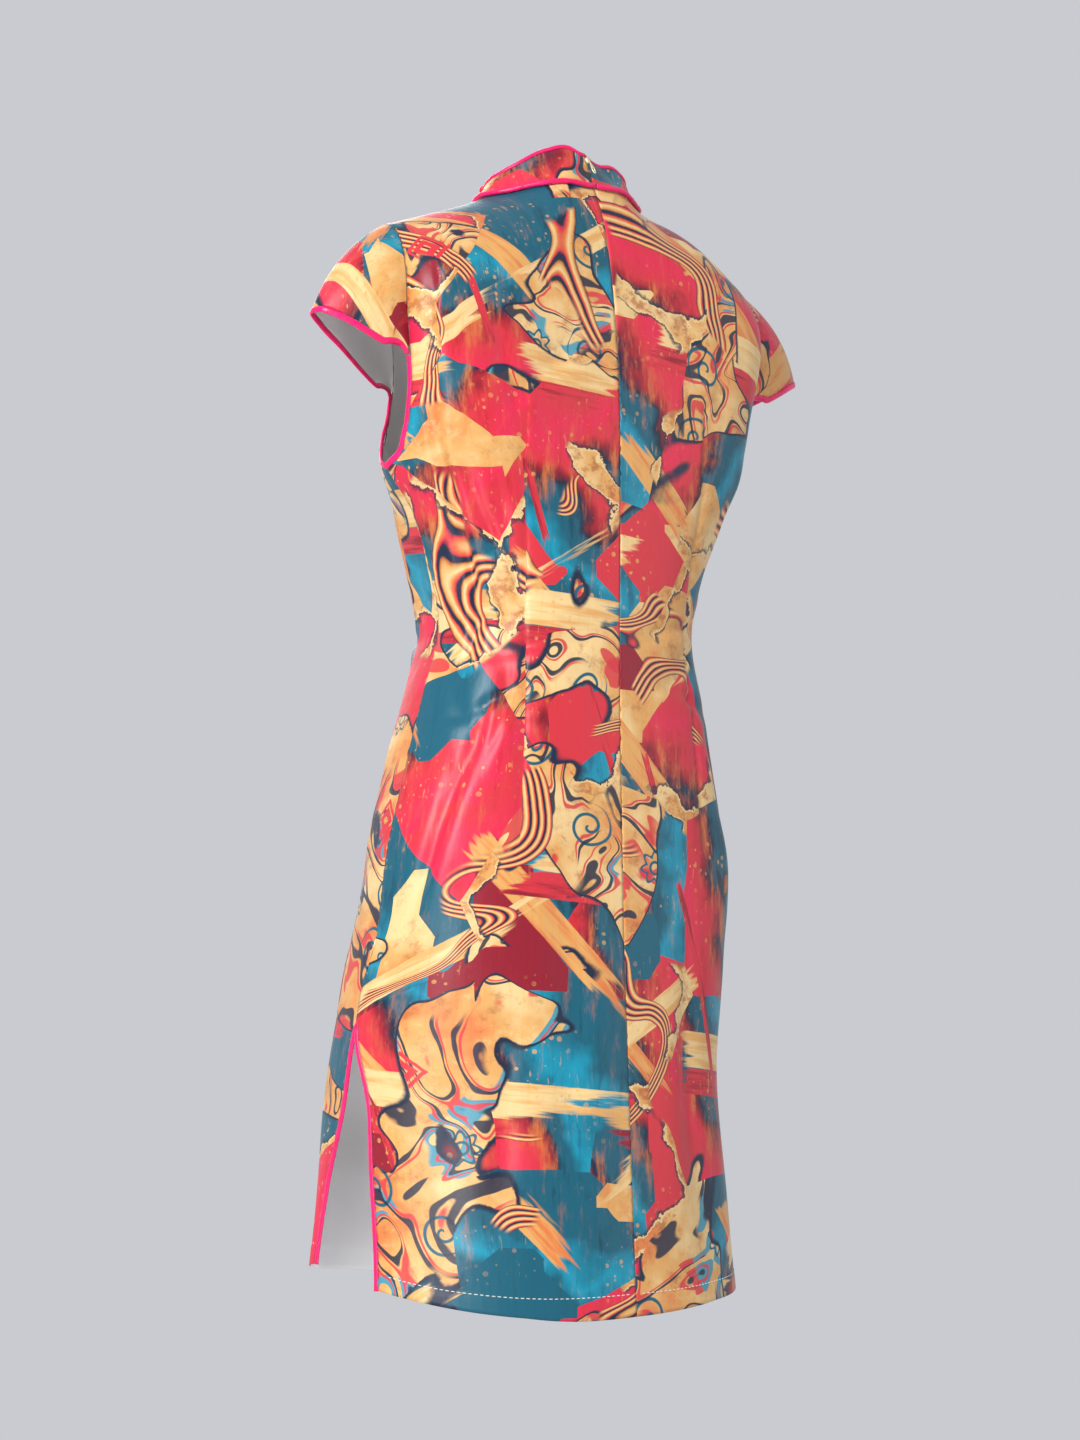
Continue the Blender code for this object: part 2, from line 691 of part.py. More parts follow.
def sleeve_grid(side):
    """A cap sleeve from its seam (first row) to its hem (last row), and outward."""
    hand = np.array([side, 1.0, 1.0])
    seam, seam_out = sleeve_seam(side)
    length = np.concatenate([[0], np.cumsum(np.linalg.norm(np.diff(seam, axis=0), axis=1))])
    run = length / length[-1]
    hem = resample(SLEEVE_HEM, run) * hand
    ends = np.minimum(1, np.minimum(6 * run, 11 * (1 - run)))[:, None]
    hem = hem * ends + (seam + hand * np.array([0.0012, 0, -0.0030])) * (1 - ends)
    fore = (run - 0.48)[:, None] * 2
    lift = np.array([0.74, 0.0, 0.67]) - fore * np.array([0.30, 0.80, 0.25])
    full = 0.021 * np.sin(math.pi * np.clip(run, 0.02, 0.98))[:, None] ** 0.7
    middle = (seam + hem) / 2 + unit(lift) * full * hand
    rows = np.linspace(0, 1, 9)[:, None, None]
    grid = (1 - rows) ** 2 * seam + 2 * rows * (1 - rows) * middle + rows**2 * hem
    normals = outward(grid)
    if normals[..., 0].mean() * side < 0:
        normals = -normals
    normals[0] = seam_out
    return grid, unit(normals * ends + seam_out * (1 - ends))


def build_sleeve(side, sleeve_name, binding_name):
    grid, normals = sleeve_grid(side)
    wall(sleeve_name, drawn_in(grid, ("bottom", "top")), normals)
    hem = grid[-1].copy()
    hem[0] += (hem[1] - hem[0]) * 0.5
    hem[-1] += (hem[-2] - hem[-1]) * 0.5
    out = beyond(hem, normals[-1], grid[-2])
    bound_edge(binding_name, hem, out, normals[-1])


def slit_edge(side, behind):
    return [part[:SLIT_ROW + 1] for part in side_edge(side, behind)]


def build_slit(side, behind, name):
    path, away, out = slit_edge(side, behind)
    return bound_edge(name, path, out, away)


def neck_rim():
    """Angles and levels of the left half of the neck seam, centre back to front."""
    turn = np.linspace(0, 1, NECK_COLUMNS + 1)
    return np.concatenate([neck_points(turn, True), neck_points(turn[::-1][1:], False)])


def collar_rings(side):
    """Base and top of half a collar, centre back to front, turned to the left side."""
    rim = neck_rim()
    base = surface(side * rim[:, 0], rim[:, 1]) * np.array([side, 1.0, 1.0])
    base[-1, 0] = 0.0045
    base[0, 0] = 0.0
    inward = unit(np.array([0.0, RIDGE_Y, 0.0]) - base * np.array([1, 1, 0]))
    inward[:, 2] = 0
    length = np.concatenate([[0], np.cumsum(np.linalg.norm(np.diff(base, axis=0), axis=1))])
    left = (length[-1] - length) / 0.016
    corner = np.sqrt(np.clip(1 - (1 - np.clip(left, 0.06, 1)) ** 2, 0, 1))
    height = smooth(COLLAR, 1, length) * corner
    lean = smooth(COLLAR, 2 if side > 0 else 3, length) - 0.22 * step(length, 0.10, 0.20)
    top = base + inward * (lean * height)[:, None]
    top[:, 2] += height * np.sqrt(1 - lean**2)
    return base, top, inward


def collar_grid(side):
    """Half a collar on the left side, from just above the neck seam to its top edge."""
    base, top, _ = collar_rings(side)
    base = base + unit(top - base) * 0.0009
    rows = np.linspace(0, 1, 5)[:, None, None]
    return base + (top - base) * rows


def neck_out(side):
    """Outward directions along half the neck seam, turned to the left side."""
    back = back_panel(side)[1][-1, :NECK_COLUMNS + 1]
    top = front_panel()[1][-1, ::side]
    front = top[COLUMNS - NECK_COLUMNS:COLUMNS + 1]
    return np.concatenate([back, front[1:]]) * np.array([side, 1.0, 1.0])


def build_collar(side, name, top_name, piping_name):
    hand = np.array([side, 1.0, 1.0])
    grid = collar_grid(side)
    normals = outward(grid)
    if normals[2, NECK_COLUMNS, 0] < 0:
        normals = -normals
    normals[:, 0, 0] = 0.0
    normals = unit(normals)
    collar_out = normals[1].copy()
    normals[0] = neck_out(side)
    drawn = drawn_in(grid, ("first", "last", "top"))
    edge = grid[-1].copy()
    out = beyond(edge, normals[-1], grid[-2])
    out[0, 0] = 0.0
    edge[0, 0] = 0.0003
    wall(name, drawn * hand, normals * hand, thick=0.0014)
    bound_edge(top_name, edge * hand, out * hand, normals[-1] * hand, 0.0036, 0.0030)
    build_neck_piping(side, collar_out, piping_name)


def build_neck_piping(side, collar_out, name):
    """A covered cord in the corner between the body and the collar."""
    hand = np.array([side, 1.0, 1.0])
    base, _, _ = collar_rings(side)
    body_out = neck_out(side)
    reach = PIPING + 0.0004
    near = 1 + np.einsum("ij,ij->i", collar_out, body_out)
    path = base + (collar_out + body_out) * (reach / near)[:, None]
    path[0, 0] = 0.0004
    path[-1, 0] = 0.0018
    return cord(name, path * hand, PIPING)


def loft(name, outline, thick, frame, look):
    """A flat plate: an outline in a plane, given a thickness across it."""
    origin, right, up, out = frame
    flat = [origin + right * a + up * b for a, b in outline]
    rings = np.array([[p - out * thick / 2 for p in flat], [p + out * thick / 2 for p in flat]])
    return rod(name, rings, look)


def zip_frame():
    """Where the slider sits on the centre back of the collar, and its directions."""
    base, top, _ = collar_rings(1)
    up = unit(top[0] - base[0])
    out = unit(np.array([0.0, up[2], -up[1]]))
    return base[0], up, out, np.linalg.norm(top[0] - base[0])


def build_zip():
    base, up, out, height = zip_frame()
    right = np.array([1.0, 0.0, 0.0])
    body = ((-0.0022, -0.0030), (0.0022, -0.0030), (0.0026, 0.0030), (-0.0026, 0.0030))
    middle = base + up * (height - 0.0045) + out * 0.0016
    loft("zip_slider", body, 0.0022, (middle, right, up, out), METAL)
    tilt = math.radians(11)
    down = -up * math.cos(tilt) - right * math.sin(tilt)
    side = right * math.cos(tilt) - up * math.sin(tilt)
    hinge = middle - up * 0.0026 + out * 0.0019
    half = 9
    outline = []
    for i in range(2 * half):
        t = math.pi * i / half
        wide = 0.0008 + 0.0014 * (1 - math.cos(t)) / 2
        outline.append((wide * math.sin(t), 0.0058 * (1 - math.cos(t)) + 0.0002))
    loft("zip_pull", outline, 0.0010, (hinge, side, down, np.cross(side, down)), METAL)
    return hinge, side


def build_knot():
    """The ball of a knotted button beside the front of the collar."""
    centre = np.array(KNOT)
    rings = []
    for i in range(1, 8):
        t = math.pi * i / 8
        radius = KNOT_RADIUS * math.sin(t)
        turns = np.linspace(0, 2 * math.pi, 10, endpoint=False)
        rings.append([
            centre + np.array([radius * math.cos(a), radius * math.sin(a),
                               -KNOT_RADIUS * math.cos(t)]) for a in turns
        ])
    return rod("knot_button", rings, PINK)


def main():
    clear()
    build_back(1, "back_left")
    build_back(-1, "back_right")
    build_front()
    for side, hand in ((1, "left"), (-1, "right")):
        build_sleeve(side, "sleeve_" + hand, "sleeve_binding_" + hand)
        build_underarm(side, "armhole_binding_" + hand)
        build_slit(side, True, "slit_binding_back_" + hand)
        build_slit(side, False, "slit_binding_front_" + hand)
        build_collar(side, "collar_" + hand, "collar_binding_" + hand, "neck_piping_" + hand)
    build_zip()
    build_knot()


main()
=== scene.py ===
"""The looks of the cheongsam: printed satin, bound edges, zip and knot.

Metres, +Z up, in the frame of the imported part. The wearer faces -Y and the wearer's
left is +X. Every panel is made again from the same tables and formulas as its solid,
on a finer grid, with creases, seam lines and cloth coordinates added.
"""

import json
import math
from functools import lru_cache

import bpy
import numpy as np
from mathutils import Matrix, Vector

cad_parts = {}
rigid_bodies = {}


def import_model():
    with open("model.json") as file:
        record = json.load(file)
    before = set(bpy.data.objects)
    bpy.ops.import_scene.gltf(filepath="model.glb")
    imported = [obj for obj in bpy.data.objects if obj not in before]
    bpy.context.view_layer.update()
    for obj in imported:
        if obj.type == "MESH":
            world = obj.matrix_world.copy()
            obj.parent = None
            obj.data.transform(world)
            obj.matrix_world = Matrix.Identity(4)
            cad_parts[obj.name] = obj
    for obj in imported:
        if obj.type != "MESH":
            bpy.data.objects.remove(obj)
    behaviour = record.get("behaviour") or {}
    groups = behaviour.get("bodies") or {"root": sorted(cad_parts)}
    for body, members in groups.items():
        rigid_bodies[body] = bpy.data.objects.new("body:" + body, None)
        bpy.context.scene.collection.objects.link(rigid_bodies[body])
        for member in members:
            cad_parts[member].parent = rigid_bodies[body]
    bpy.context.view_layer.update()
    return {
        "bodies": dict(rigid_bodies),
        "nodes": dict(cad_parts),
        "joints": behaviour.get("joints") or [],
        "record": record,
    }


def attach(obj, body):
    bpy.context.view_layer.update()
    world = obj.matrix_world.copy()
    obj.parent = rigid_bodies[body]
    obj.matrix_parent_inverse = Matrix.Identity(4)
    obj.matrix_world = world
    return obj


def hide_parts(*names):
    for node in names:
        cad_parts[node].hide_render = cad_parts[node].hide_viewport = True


CLOTH = 0.0012          # wall of a panel
BINDING = 0.0024        # thickness of a bound edge
BINDING_WIDTH = 0.0050
SEAM_HALF = 0.00016     # each panel stops this far short of its seam

# Columns and rows shared by the panels, so that neighbours meet point for point.
COLUMNS = 84            # from the centre to the side, half of them before the dart
NECK_COLUMNS = 36
SLEEVE_ROWS = 49
COLLAR_ROWS = 25
SLIT_ROW = 66           # last row of the slit edges, counted from the hem
UNDERARM_ROW = 196
SLEEVE_ROW = 230        # where the sleeve leaves the armhole edge
TOP_ROW = 280

# Level of the dress: half width, depth behind and in front of the side seams, and how
# square the section is behind and in front (0 is an ellipse, negative is pinched).
#          z      half    back    front   back_sq front_sq
LEVELS = (
    (-0.900, 0.1590, 0.1265, 0.0975, 0.03, 0.02),
    (-0.800, 0.1480, 0.1184, 0.0945, 0.03, 0.03),
    (-0.700, 0.1390, 0.1100, 0.0965, 0.03, 0.03),
    (-0.610, 0.1480, 0.1025, 0.1035, 0.04, 0.03),
    (-0.540, 0.1525, 0.0985, 0.0960, 0.04, 0.03),
    (-0.470, 0.1390, 0.0945, 0.1000, 0.04, 0.03),
    (-0.410, 0.1235, 0.0915, 0.0940, 0.04, 0.03),
    (-0.360, 0.1110, 0.0900, 0.0930, 0.04, 0.03),
    (-0.310, 0.1220, 0.0893, 0.0965, 0.04, 0.02),
    (-0.260, 0.1415, 0.0882, 0.0985, 0.05, 0.00),
    (-0.225, 0.1590, 0.0872, 0.1050, 0.06, -0.05),
    (-0.170, 0.1660, 0.0845, 0.0990, 0.08, -0.07),
    (-0.110, 0.1740, 0.0775, 0.0890, 0.10, -0.07),
    (-0.060, 0.1740, 0.0680, 0.0710, 0.09, -0.05),
    (-0.026, 0.1740, 0.0584, 0.0560, 0.07, -0.03),
    (0.002, 0.1740, 0.0453, 0.0420, 0.05, 0.0),
    (0.040, 0.1740, 0.0250, 0.0220, 0.0, 0.0),
)

UNDERARM = -0.240       # level where the armholes begin
WAIST = -0.357
SLIT_TOP = -0.668
SLIT_STEP = 0.0075      # from the last row of the slit edges up to the side seam
AROUND = 0.21           # length round the body for one unit of angle, nearly
SLIT_AROUND = 0.17      # the same at the slits
BUST_X = 0.080
BUST_Z = -0.262
BUST_OUT = 0.010
HIPS = (-0.600, -0.470)     # levels between which the right side seam is pinched
HIP_PINCH = 0.011
HIP_FULL = 0.009
ARM_FLARE = 0.009
SLIT_PUSH = 0.018       # how far the left back edge follows the thigh at the slit's top
THIGH_TURN = 0.16       # sideways share of the thigh's push

# Height of the hem by angle: behind from right to left, in front from left to right.
HEM_BACK = (
    (-1.0, -0.867), (-0.5, -0.8795), (0.0, -0.888), (0.3, -0.8900), (0.6, -0.8850),
    (1.0, -0.871),
)
HEM_FRONT = ((1.0, -0.859), (1.5, -0.866), (2.0, -0.873), (2.5, -0.874), (3.0, -0.870))

# The shoulder seam runs along a ridge that the front and back roll over.
RIDGE_Z = 0.0152
RIDGE_Y = -0.0060
RIDGE_SLOPE = 0.36
RIDGE_RISE = 0.060
ROLL_BACK = 0.060
ROLL_FRONT = 0.085
SHOULDER_X = 0.165

NECK_A = 0.0727         # half width of the neck opening
NECK_BACK = 0.0513
NECK_FRONT = 0.0640
# Small corrections to the height of the back neck seam, by distance from the centre.
NECK_EVEN = (
    (0.000, 0.0), (0.019, -0.0030), (0.037, -0.0005), (0.053, 0.0020), (0.065, 0.0008),
    (0.073, 0.0),
)

# Darts of the back: half distance between them, by level.
#          z      x
BACK_DART = (
    (-0.900, 0.0900), (-0.515, 0.0884), (-0.471, 0.0851), (-0.357, 0.0792),
    (-0.296, 0.0818), (-0.245, 0.0876), (-0.166, 0.0977), (-0.100, 0.1000),
)
BACK_DART_ENDS = (-0.535, -0.166)
DART_DEPTH = 0.0011
DART_INTAKE = 0.027     # cloth taken in by a back dart at the waist
FRONT_DART_X = 0.082
FRONT_DART_ENDS = (-0.500, -0.290)

# Armhole edges as angle round the section (0 centre back, 1 side, 2 centre front).
#          z      angle
ARM_BACK = (
    (-0.240, 1.00), (-0.234, 0.93), (-0.215, 0.855), (-0.183, 0.805),
    (-0.154, 0.785), (-0.100, 0.755), (-0.065, 0.730), (-0.043, 0.700),
)
ARM_FRONT = (
    (-0.240, 1.00), (-0.235, 1.08), (-0.217, 1.20), (-0.175, 1.33),
    (-0.120, 1.345), (-0.075, 1.28), (-0.043, 1.16),
)
SLEEVE_BACK_Z = -0.154  # where the cap sleeve meets the armhole edge
SLEEVE_FRONT_Z = -0.172

# Hem of the left cap sleeve from its back end to its front end.
SLEEVE_HEM = (
    (0.1690, 0.0390, -0.1545), (0.1965, 0.0345, -0.1410), (0.2190, 0.0265, -0.1290),
    (0.2330, 0.0150, -0.1225), (0.2345, 0.0030, -0.1225), (0.2220, -0.0050, -0.1300),
    (0.1990, -0.0130, -0.1430), (0.1710, -0.0230, -0.1600), (0.1420, -0.0330, -0.1750),
)

# The collar by length along the neck seam from the centre back. The right half leans
# further in behind the neck.
#     length  height  lean of the left and of the right half
COLLAR = (
    (0.000, 0.0300, 0.42, 0.44), (0.020, 0.0350, 0.42, 0.64), (0.040, 0.0350, 0.42, 0.64),
    (0.056, 0.0335, 0.42, 0.48), (0.075, 0.0270, 0.42, 0.40), (0.095, 0.0190, 0.42, 0.42),
    (0.130, 0.0170, 0.42, 0.42), (0.200, 0.0180, 0.42, 0.42), (0.260, 0.0180, 0.42, 0.42),
)
PIPING = 0.0021         # radius of the covered cord
LIFT_FROM = 0.036       # the right shoulder starts to rise this far from the centre
SHOULDER_LIFT = 0.011
SLEEVE_FULL = 0.021     # bulge of a sleeve between its seam and its hem
COLLAR_PART = 0.0045    # half the gap between the collar's front ends
COLLAR_CORNER = 0.016   # radius of its rounded front corners
COLLAR_RISE = 0.0009    # its cloth starts this far above the neck seam
COLLAR_EDGE = (0.0036, 0.0030)      # width and thickness of its binding
KNOT = (0.0575, -0.0276, 0.0043)
KNOT_RADIUS = 0.0042

# The left thigh pushes the front panel forward, and the slit edge with it.
#          z      slit edge  thigh
PUSH = (
    (-0.900, 0.076, 0.062), (-0.860, 0.081, 0.045), (-0.800, 0.070, 0.049),
    (-0.740, 0.046, 0.056), (-0.680, 0.020, 0.029), (-0.620, 0.006, 0.019),
    (-0.560, 0.001, 0.003), (-0.500, 0.000, 0.000), (-0.440, 0.0, 0.0),
)

# How far the left hip carries the dress sideways.
#          z      out
SWAY = (
    (-0.900, 0.016), (-0.800, 0.021), (-0.740, 0.026), (-0.690, 0.031),
    (-0.650, 0.024), (-0.600, 0.011), (-0.550, 0.003), (-0.500, 0.0), (-0.440, 0.0),
)

# Soft folds: side (+1 left), angle and level of each end, half width, depth in metres.
FOLDS = (
    (+1, 0.66, -0.165, 0.74, -0.400, 0.010, -0.0050),
    (+1, 0.60, -0.200, 0.66, -0.330, 0.012, 0.0022),
    (+1, 0.30, -0.470, 0.72, -0.330, 0.011, -0.0020),
    (+1, 0.86, -0.260, 0.60, -0.370, 0.010, -0.0022),
    (+1, 0.93, -0.380, 0.55, -0.470, 0.011, -0.0022),
    (-1, 0.70, -0.165, 0.66, -0.330, 0.011, -0.0035),
    (-1, 0.25, -0.400, 0.60, -0.340, 0.010, -0.0018),
    (+1, 0.55, -0.640, 0.72, -0.860, 0.022, -0.0035),
    (-1, 0.30, -0.650, 0.35, -0.880, 0.024, -0.0035),
    (+1, 0.10, -0.600, 0.16, -0.880, 0.020, 0.0025),
    (+1, 1.62, -0.560, 1.70, -0.850, 0.026, -0.0060),
    (-1, 1.55, -0.560, 1.50, -0.850, 0.026, -0.0050),
    (-1, 1.30, -0.400, 1.75, -0.470, 0.013, -0.0025),
    (+1, 1.30, -0.400, 1.75, -0.460, 0.013, -0.0025),
    (+1, 1.28, -0.190, 1.50, -0.240, 0.012, -0.0025),
    (-1, 1.28, -0.190, 1.50, -0.240, 0.012, -0.0025),
)


def smooth(table, column, z):
    """One column of a table at level z, as a cubic with slopes from its neighbours."""
    rows = np.array(table, float)
    rows = rows[np.argsort(rows[:, 0], kind="stable")]
    xs = rows[:, 0]
    ys = rows[:, column]
    slopes = np.gradient(ys, xs)
    z = np.clip(np.asarray(z, float), xs[0], xs[-1])
    i = np.clip(np.searchsorted(xs, z) - 1, 0, len(xs) - 2)
    span = xs[i + 1] - xs[i]
    t = (z - xs[i]) / span
    return (
        (2 * t**3 - 3 * t**2 + 1) * ys[i]
        + (t**3 - 2 * t**2 + t) * span * slopes[i]
        + (3 * t**2 - 2 * t**3) * ys[i + 1]
        + (t**3 - t**2) * span * slopes[i + 1]
    )


def step(x, low, high):
    """0 below low, 1 above high, smooth between."""
    t = np.clip((np.asarray(x, float) - low) / (high - low), 0, 1)
    return t * t * (3 - 2 * t)


def window(z, low, high, soft):
    """1 between two levels, fading to 0 over soft outside them."""
    return step(z, low - soft, low) * (1 - step(z, high, high + soft))


def section(angle, z):
    """Plan point of the body surface; a negative angle is the wearer's right."""
    angle = np.asarray(angle, float)
    half = smooth(LEVELS, 1, z)
    turn = np.abs(angle) * math.pi / 2
    behind = np.abs(angle) <= 1
    depth = np.where(behind, smooth(LEVELS, 2, z), smooth(LEVELS, 3, z))
    square = np.where(behind, smooth(LEVELS, 4, z), smooth(LEVELS, 5, z))
    x = half * (np.sin(turn) + square * np.sin(3 * turn)) / (1 - square)
    y = depth * (np.cos(turn) - square * np.cos(3 * turn)) / (1 - square)
    return np.sign(angle) * x, y


def ridge(x):
    """Height of the shoulder line."""
    x = np.abs(x)
    return RIDGE_Z - RIDGE_SLOPE * x + RIDGE_RISE * np.exp(-((x / 0.042) ** 2))


def rolled(x, y, z):
    """Rolls the section in towards the shoulder line near the top."""
    reach = np.where(y > RIDGE_Y, ROLL_BACK, ROLL_FRONT)
    s = np.clip((ridge(x) - z) / reach, 0, 1)
    return RIDGE_Y + (y - RIDGE_Y) * np.sqrt(np.maximum(1 - (1 - s) ** 2, 0))


def shoulder_lift(x, z):
    """The right shoulder line is carried a little higher between neck and sleeve."""
    between = np.clip((-x - LIFT_FROM) / (SHOULDER_X - LIFT_FROM), 0, 1)
    return SHOULDER_LIFT * np.sin(math.pi * between) ** 2 * step(z - ridge(x), -0.085, -0.010)


def bust(x, z):
    """How far the front stands out over the bust."""
    return BUST_OUT * np.exp(-(((np.abs(x) - BUST_X) / 0.042) ** 2) - ((z - BUST_Z) / 0.055) ** 2)


def thigh(angle, z):
    """Forward push of the front panel, over the left thigh and towards the middle."""
    round_front = np.where(angle >= 0, angle, 4 + angle)
    edge = smooth(PUSH, 1, z)
    full = smooth(PUSH, 2, z)
    rise = step(round_front, 1.0, 1.42)
    fall = 1 - step(round_front, 1.45, 2.75)
    return edge * (1 - rise) * (round_front >= 1) + full * rise * fall


def hip_roll(angle, z):
    """Inward pinch along the right side seam, below the waist."""
    there = window(z, *HIPS, 0.070)
    seam = np.exp(-(((np.abs(angle) - 0.93) / np.where(np.abs(angle) < 0.93, 0.22, 0.07)) ** 2))
    return HIP_PINCH * there * seam * (angle < 0)


def hip_full(angle, z):
    """The front stands out just ahead of the pinched seam."""
    bump = np.exp(-(((np.abs(angle) - 1.06) / 0.16) ** 2)) * (angle < 0)
    return HIP_FULL * window(z, *HIPS, 0.080) * bump


def beside_line(row, angle, z):
    """Share of the way along a fold's line, distance across it, and its length."""
    side, a0, z0, a1, z1 = row[:5]
    du = (a1 - a0) * AROUND
    dz = z1 - z0
    length = math.hypot(du, dz)
    pu = (angle * side - a0) * AROUND
    pz = z - z0
    return (pu * du + pz * dz) / length**2, (pu * dz - pz * du) / length, length


def folds(angle, z):
    """Height of all the soft folds at a point."""
    total = np.zeros_like(angle)
    for row in FOLDS:
        along, across, _ = beside_line(row, angle, z)
        fade = step(along, -0.12, 0.25) * (1 - step(along, 0.75, 1.12))
        total += row[6] * fade * np.exp(-((across / row[5]) ** 2)) * (angle * row[0] > 0)
    return total


def arm_flare(angle, z):
    """The bound armhole stands off the body a little at the underarm."""
    along = (np.abs(angle) - 1) / 0.16
    return ARM_FLARE * np.exp(-(along**2) - ((z - UNDERARM) / 0.020) ** 2)


def dart_pinch(angle, z, x):
    """A shallow valley down each dart."""
    back = np.abs(angle) <= 1
    middle = np.where(back, smooth(BACK_DART, 1, z), FRONT_DART_X)
    low = np.where(back, BACK_DART_ENDS[0], FRONT_DART_ENDS[0])
    high = np.where(back, BACK_DART_ENDS[1], FRONT_DART_ENDS[1])
    there = window(z, low + 0.02, high - 0.02, 0.02)
    return -DART_DEPTH * there * np.exp(-(((np.abs(x) - middle) / 0.006) ** 2))


def surface(angle, z):
    """The outside of the dress at an angle round the body and a level."""
    angle = np.asarray(angle, float)
    z = np.asarray(z, float) + 0 * angle
    x, y = section(angle, z)
    front = np.abs(angle) > 1
    y = y - np.where(front, bust(x, z) * step(np.abs(angle), 1.0, 1.4), 0)
    push = thigh(angle, z)
    below = step(z, SLIT_TOP - 0.10, SLIT_TOP)
    back_push = SLIT_PUSH * below * window(z, SLIT_TOP, SLIT_TOP, 0.10)
    edge = step(angle, 0.55, 1.0) * (angle > 0) * (angle < 1)
    y = y - push - back_push * edge
    x = x + smooth(SWAY, 1, z) * step(angle, 0.30, 1.0) * (1 - step(angle, 1.2, 1.9))
    x = x - THIGH_TURN * push * (angle > 0) * (1 - step(angle, 1.3, 1.7))
    y = rolled(x, y, z)
    out = hip_full(angle, z) - hip_roll(angle, z)
    out = out + folds(angle, z) + dart_pinch(angle, z, x) + arm_flare(angle, z)
    spread = np.hypot(x, y - RIDGE_Y)
    z = z + shoulder_lift(x, z)
    return np.stack([x + out * x / spread, y + out * (y - RIDGE_Y) / spread, z], -1)


def halved(low, high, over):
    """Halves a range again and again, towards where over turns true."""
    for _ in range(26):
        mid = (low + high) / 2
        above = over(mid)
        high = np.where(above, mid, high)
        low = np.where(above, low, mid)
    return mid


def phi_at(x, z, behind):
    """Angle at which the section has this half width, behind or in front."""
    x = np.asarray(x, float) + 0 * np.asarray(z, float)

    def over(mid):
        return section(mid if behind else 2 - mid, z)[0] > x

    mid = halved(np.zeros_like(x), np.ones_like(x), over)
    return mid if behind else 2 - mid


def level_at(x, y, behind):
    """Levels at which the surface passes over plan points near the neck."""
    def over(mid):
        here = rolled(x, section(phi_at(x, mid, behind), mid)[1], mid)
        return here < y if behind else here > y

    high = ridge(x)
    return halved(np.minimum(high - ROLL_FRONT, -0.10), high, over)


def hem_level(angle):
    """Height of the hem: lowest behind, lifted in front by the left thigh."""
    angle = np.asarray(angle, float)
    front = np.where(angle >= 0, angle, 4 + angle)
    return np.where(np.abs(angle) <= 1, smooth(HEM_BACK, 1, angle), smooth(HEM_FRONT, 1, front))


def seam_side(z, side, behind):
    """Angle of a side seam; below the slits the back edges draw back."""
    room = BINDING_WIDTH / SLIT_AROUND * step(-z, -SLIT_TOP, -SLIT_TOP + 0.007)
    hip = 0.07 * window(z, *HIPS, 0.080) if side < 0 else 0
    if behind:
        return 1 - 0.10 * step(-z, 0.72, 0.90) - hip - room
    return 1 - hip + room


def neck_points(turn, behind):
    """Angles and levels of the neck seam; turn 0 is the centre, 1 the shoulder."""
    turn = np.asarray(turn, float)
    x = NECK_A * np.sin(turn * math.pi / 2)
    deep = NECK_BACK if behind else -NECK_FRONT
    y = RIDGE_Y + deep * np.cos(turn * math.pi / 2)
    z = level_at(x, y, behind) + (smooth(NECK_EVEN, 1, x) if behind else 0.0)
    z = np.where(turn > 0.995, ridge(x), z)
    return np.stack([phi_at(x, z, behind), z], -1)


def top_edge(behind):
    """Neck seam from the centre to the shoulder, then the shoulder seam outwards."""
    neck = neck_points(np.linspace(0, 1, NECK_COLUMNS + 1), behind)
    x = np.linspace(NECK_A, SHOULDER_X, COLUMNS - NECK_COLUMNS + 1)[1:]
    z = ridge(x)
    return np.concatenate([neck, np.stack([phi_at(x, z, behind), z], -1)])


def armhole_levels(behind):
    """Levels of the rows along the armhole edge, underarm to shoulder."""
    sleeve = SLEEVE_BACK_Z if behind else SLEEVE_FRONT_Z
    bound = np.linspace(0, 1, SLEEVE_ROW - UNDERARM_ROW + 1) ** 1.5
    sewn = 1 - (1 - np.linspace(0, 1, TOP_ROW - SLEEVE_ROW + 1)[1:]) ** 1.25
    top = float(ridge(SHOULDER_X))
    return np.concatenate([UNDERARM + (sleeve - UNDERARM) * bound, sleeve + (top - sleeve) * sewn])


def upper_block(bottom, top, behind):
    """Angles and levels of a panel between the underarm level and its top edge."""
    u = np.linspace(0, 1, COLUMNS + 1)[None, :, None]
    v = 1 - (1 - np.linspace(0, 1, TOP_ROW - UNDERARM_ROW + 1)[:, None]) ** 1.45
    left_z = UNDERARM + (top[0, 1] - UNDERARM) * v
    left = np.stack([np.full_like(left_z, bottom[0]), left_z], -1)
    right_z = armhole_levels(behind)[:, None]
    right = np.stack([smooth(ARM_BACK if behind else ARM_FRONT, 1, right_z), right_z], -1)
    right[-1, 0, 0] = top[-1, 0]
    low = np.stack([bottom, np.full_like(bottom, UNDERARM)], -1)[None]
    high = top[None]
    v = np.stack([v ** (1 if behind else 1.6), v], -1)
    corners = (
        (1 - u) * (1 - v) * low[:, :1] + u * (1 - v) * low[:, -1:]
        + (1 - u) * v * high[:, :1] + u * v * high[:, -1:]
    )
    return (1 - v) * low + v * high + (1 - u) * left + u * right - corners


def lower_levels(hem):
    """Levels of the rows from the hem to just below the underarm."""
    slit_end = SLIT_TOP - SLIT_STEP
    rows = [hem + (slit_end - hem) * k / SLIT_ROW for k in range(SLIT_ROW + 1)]
    above = np.linspace(SLIT_TOP, UNDERARM, UNDERARM_ROW - SLIT_ROW)
    return rows + [hem * 0 + z for z in above[:-1]]


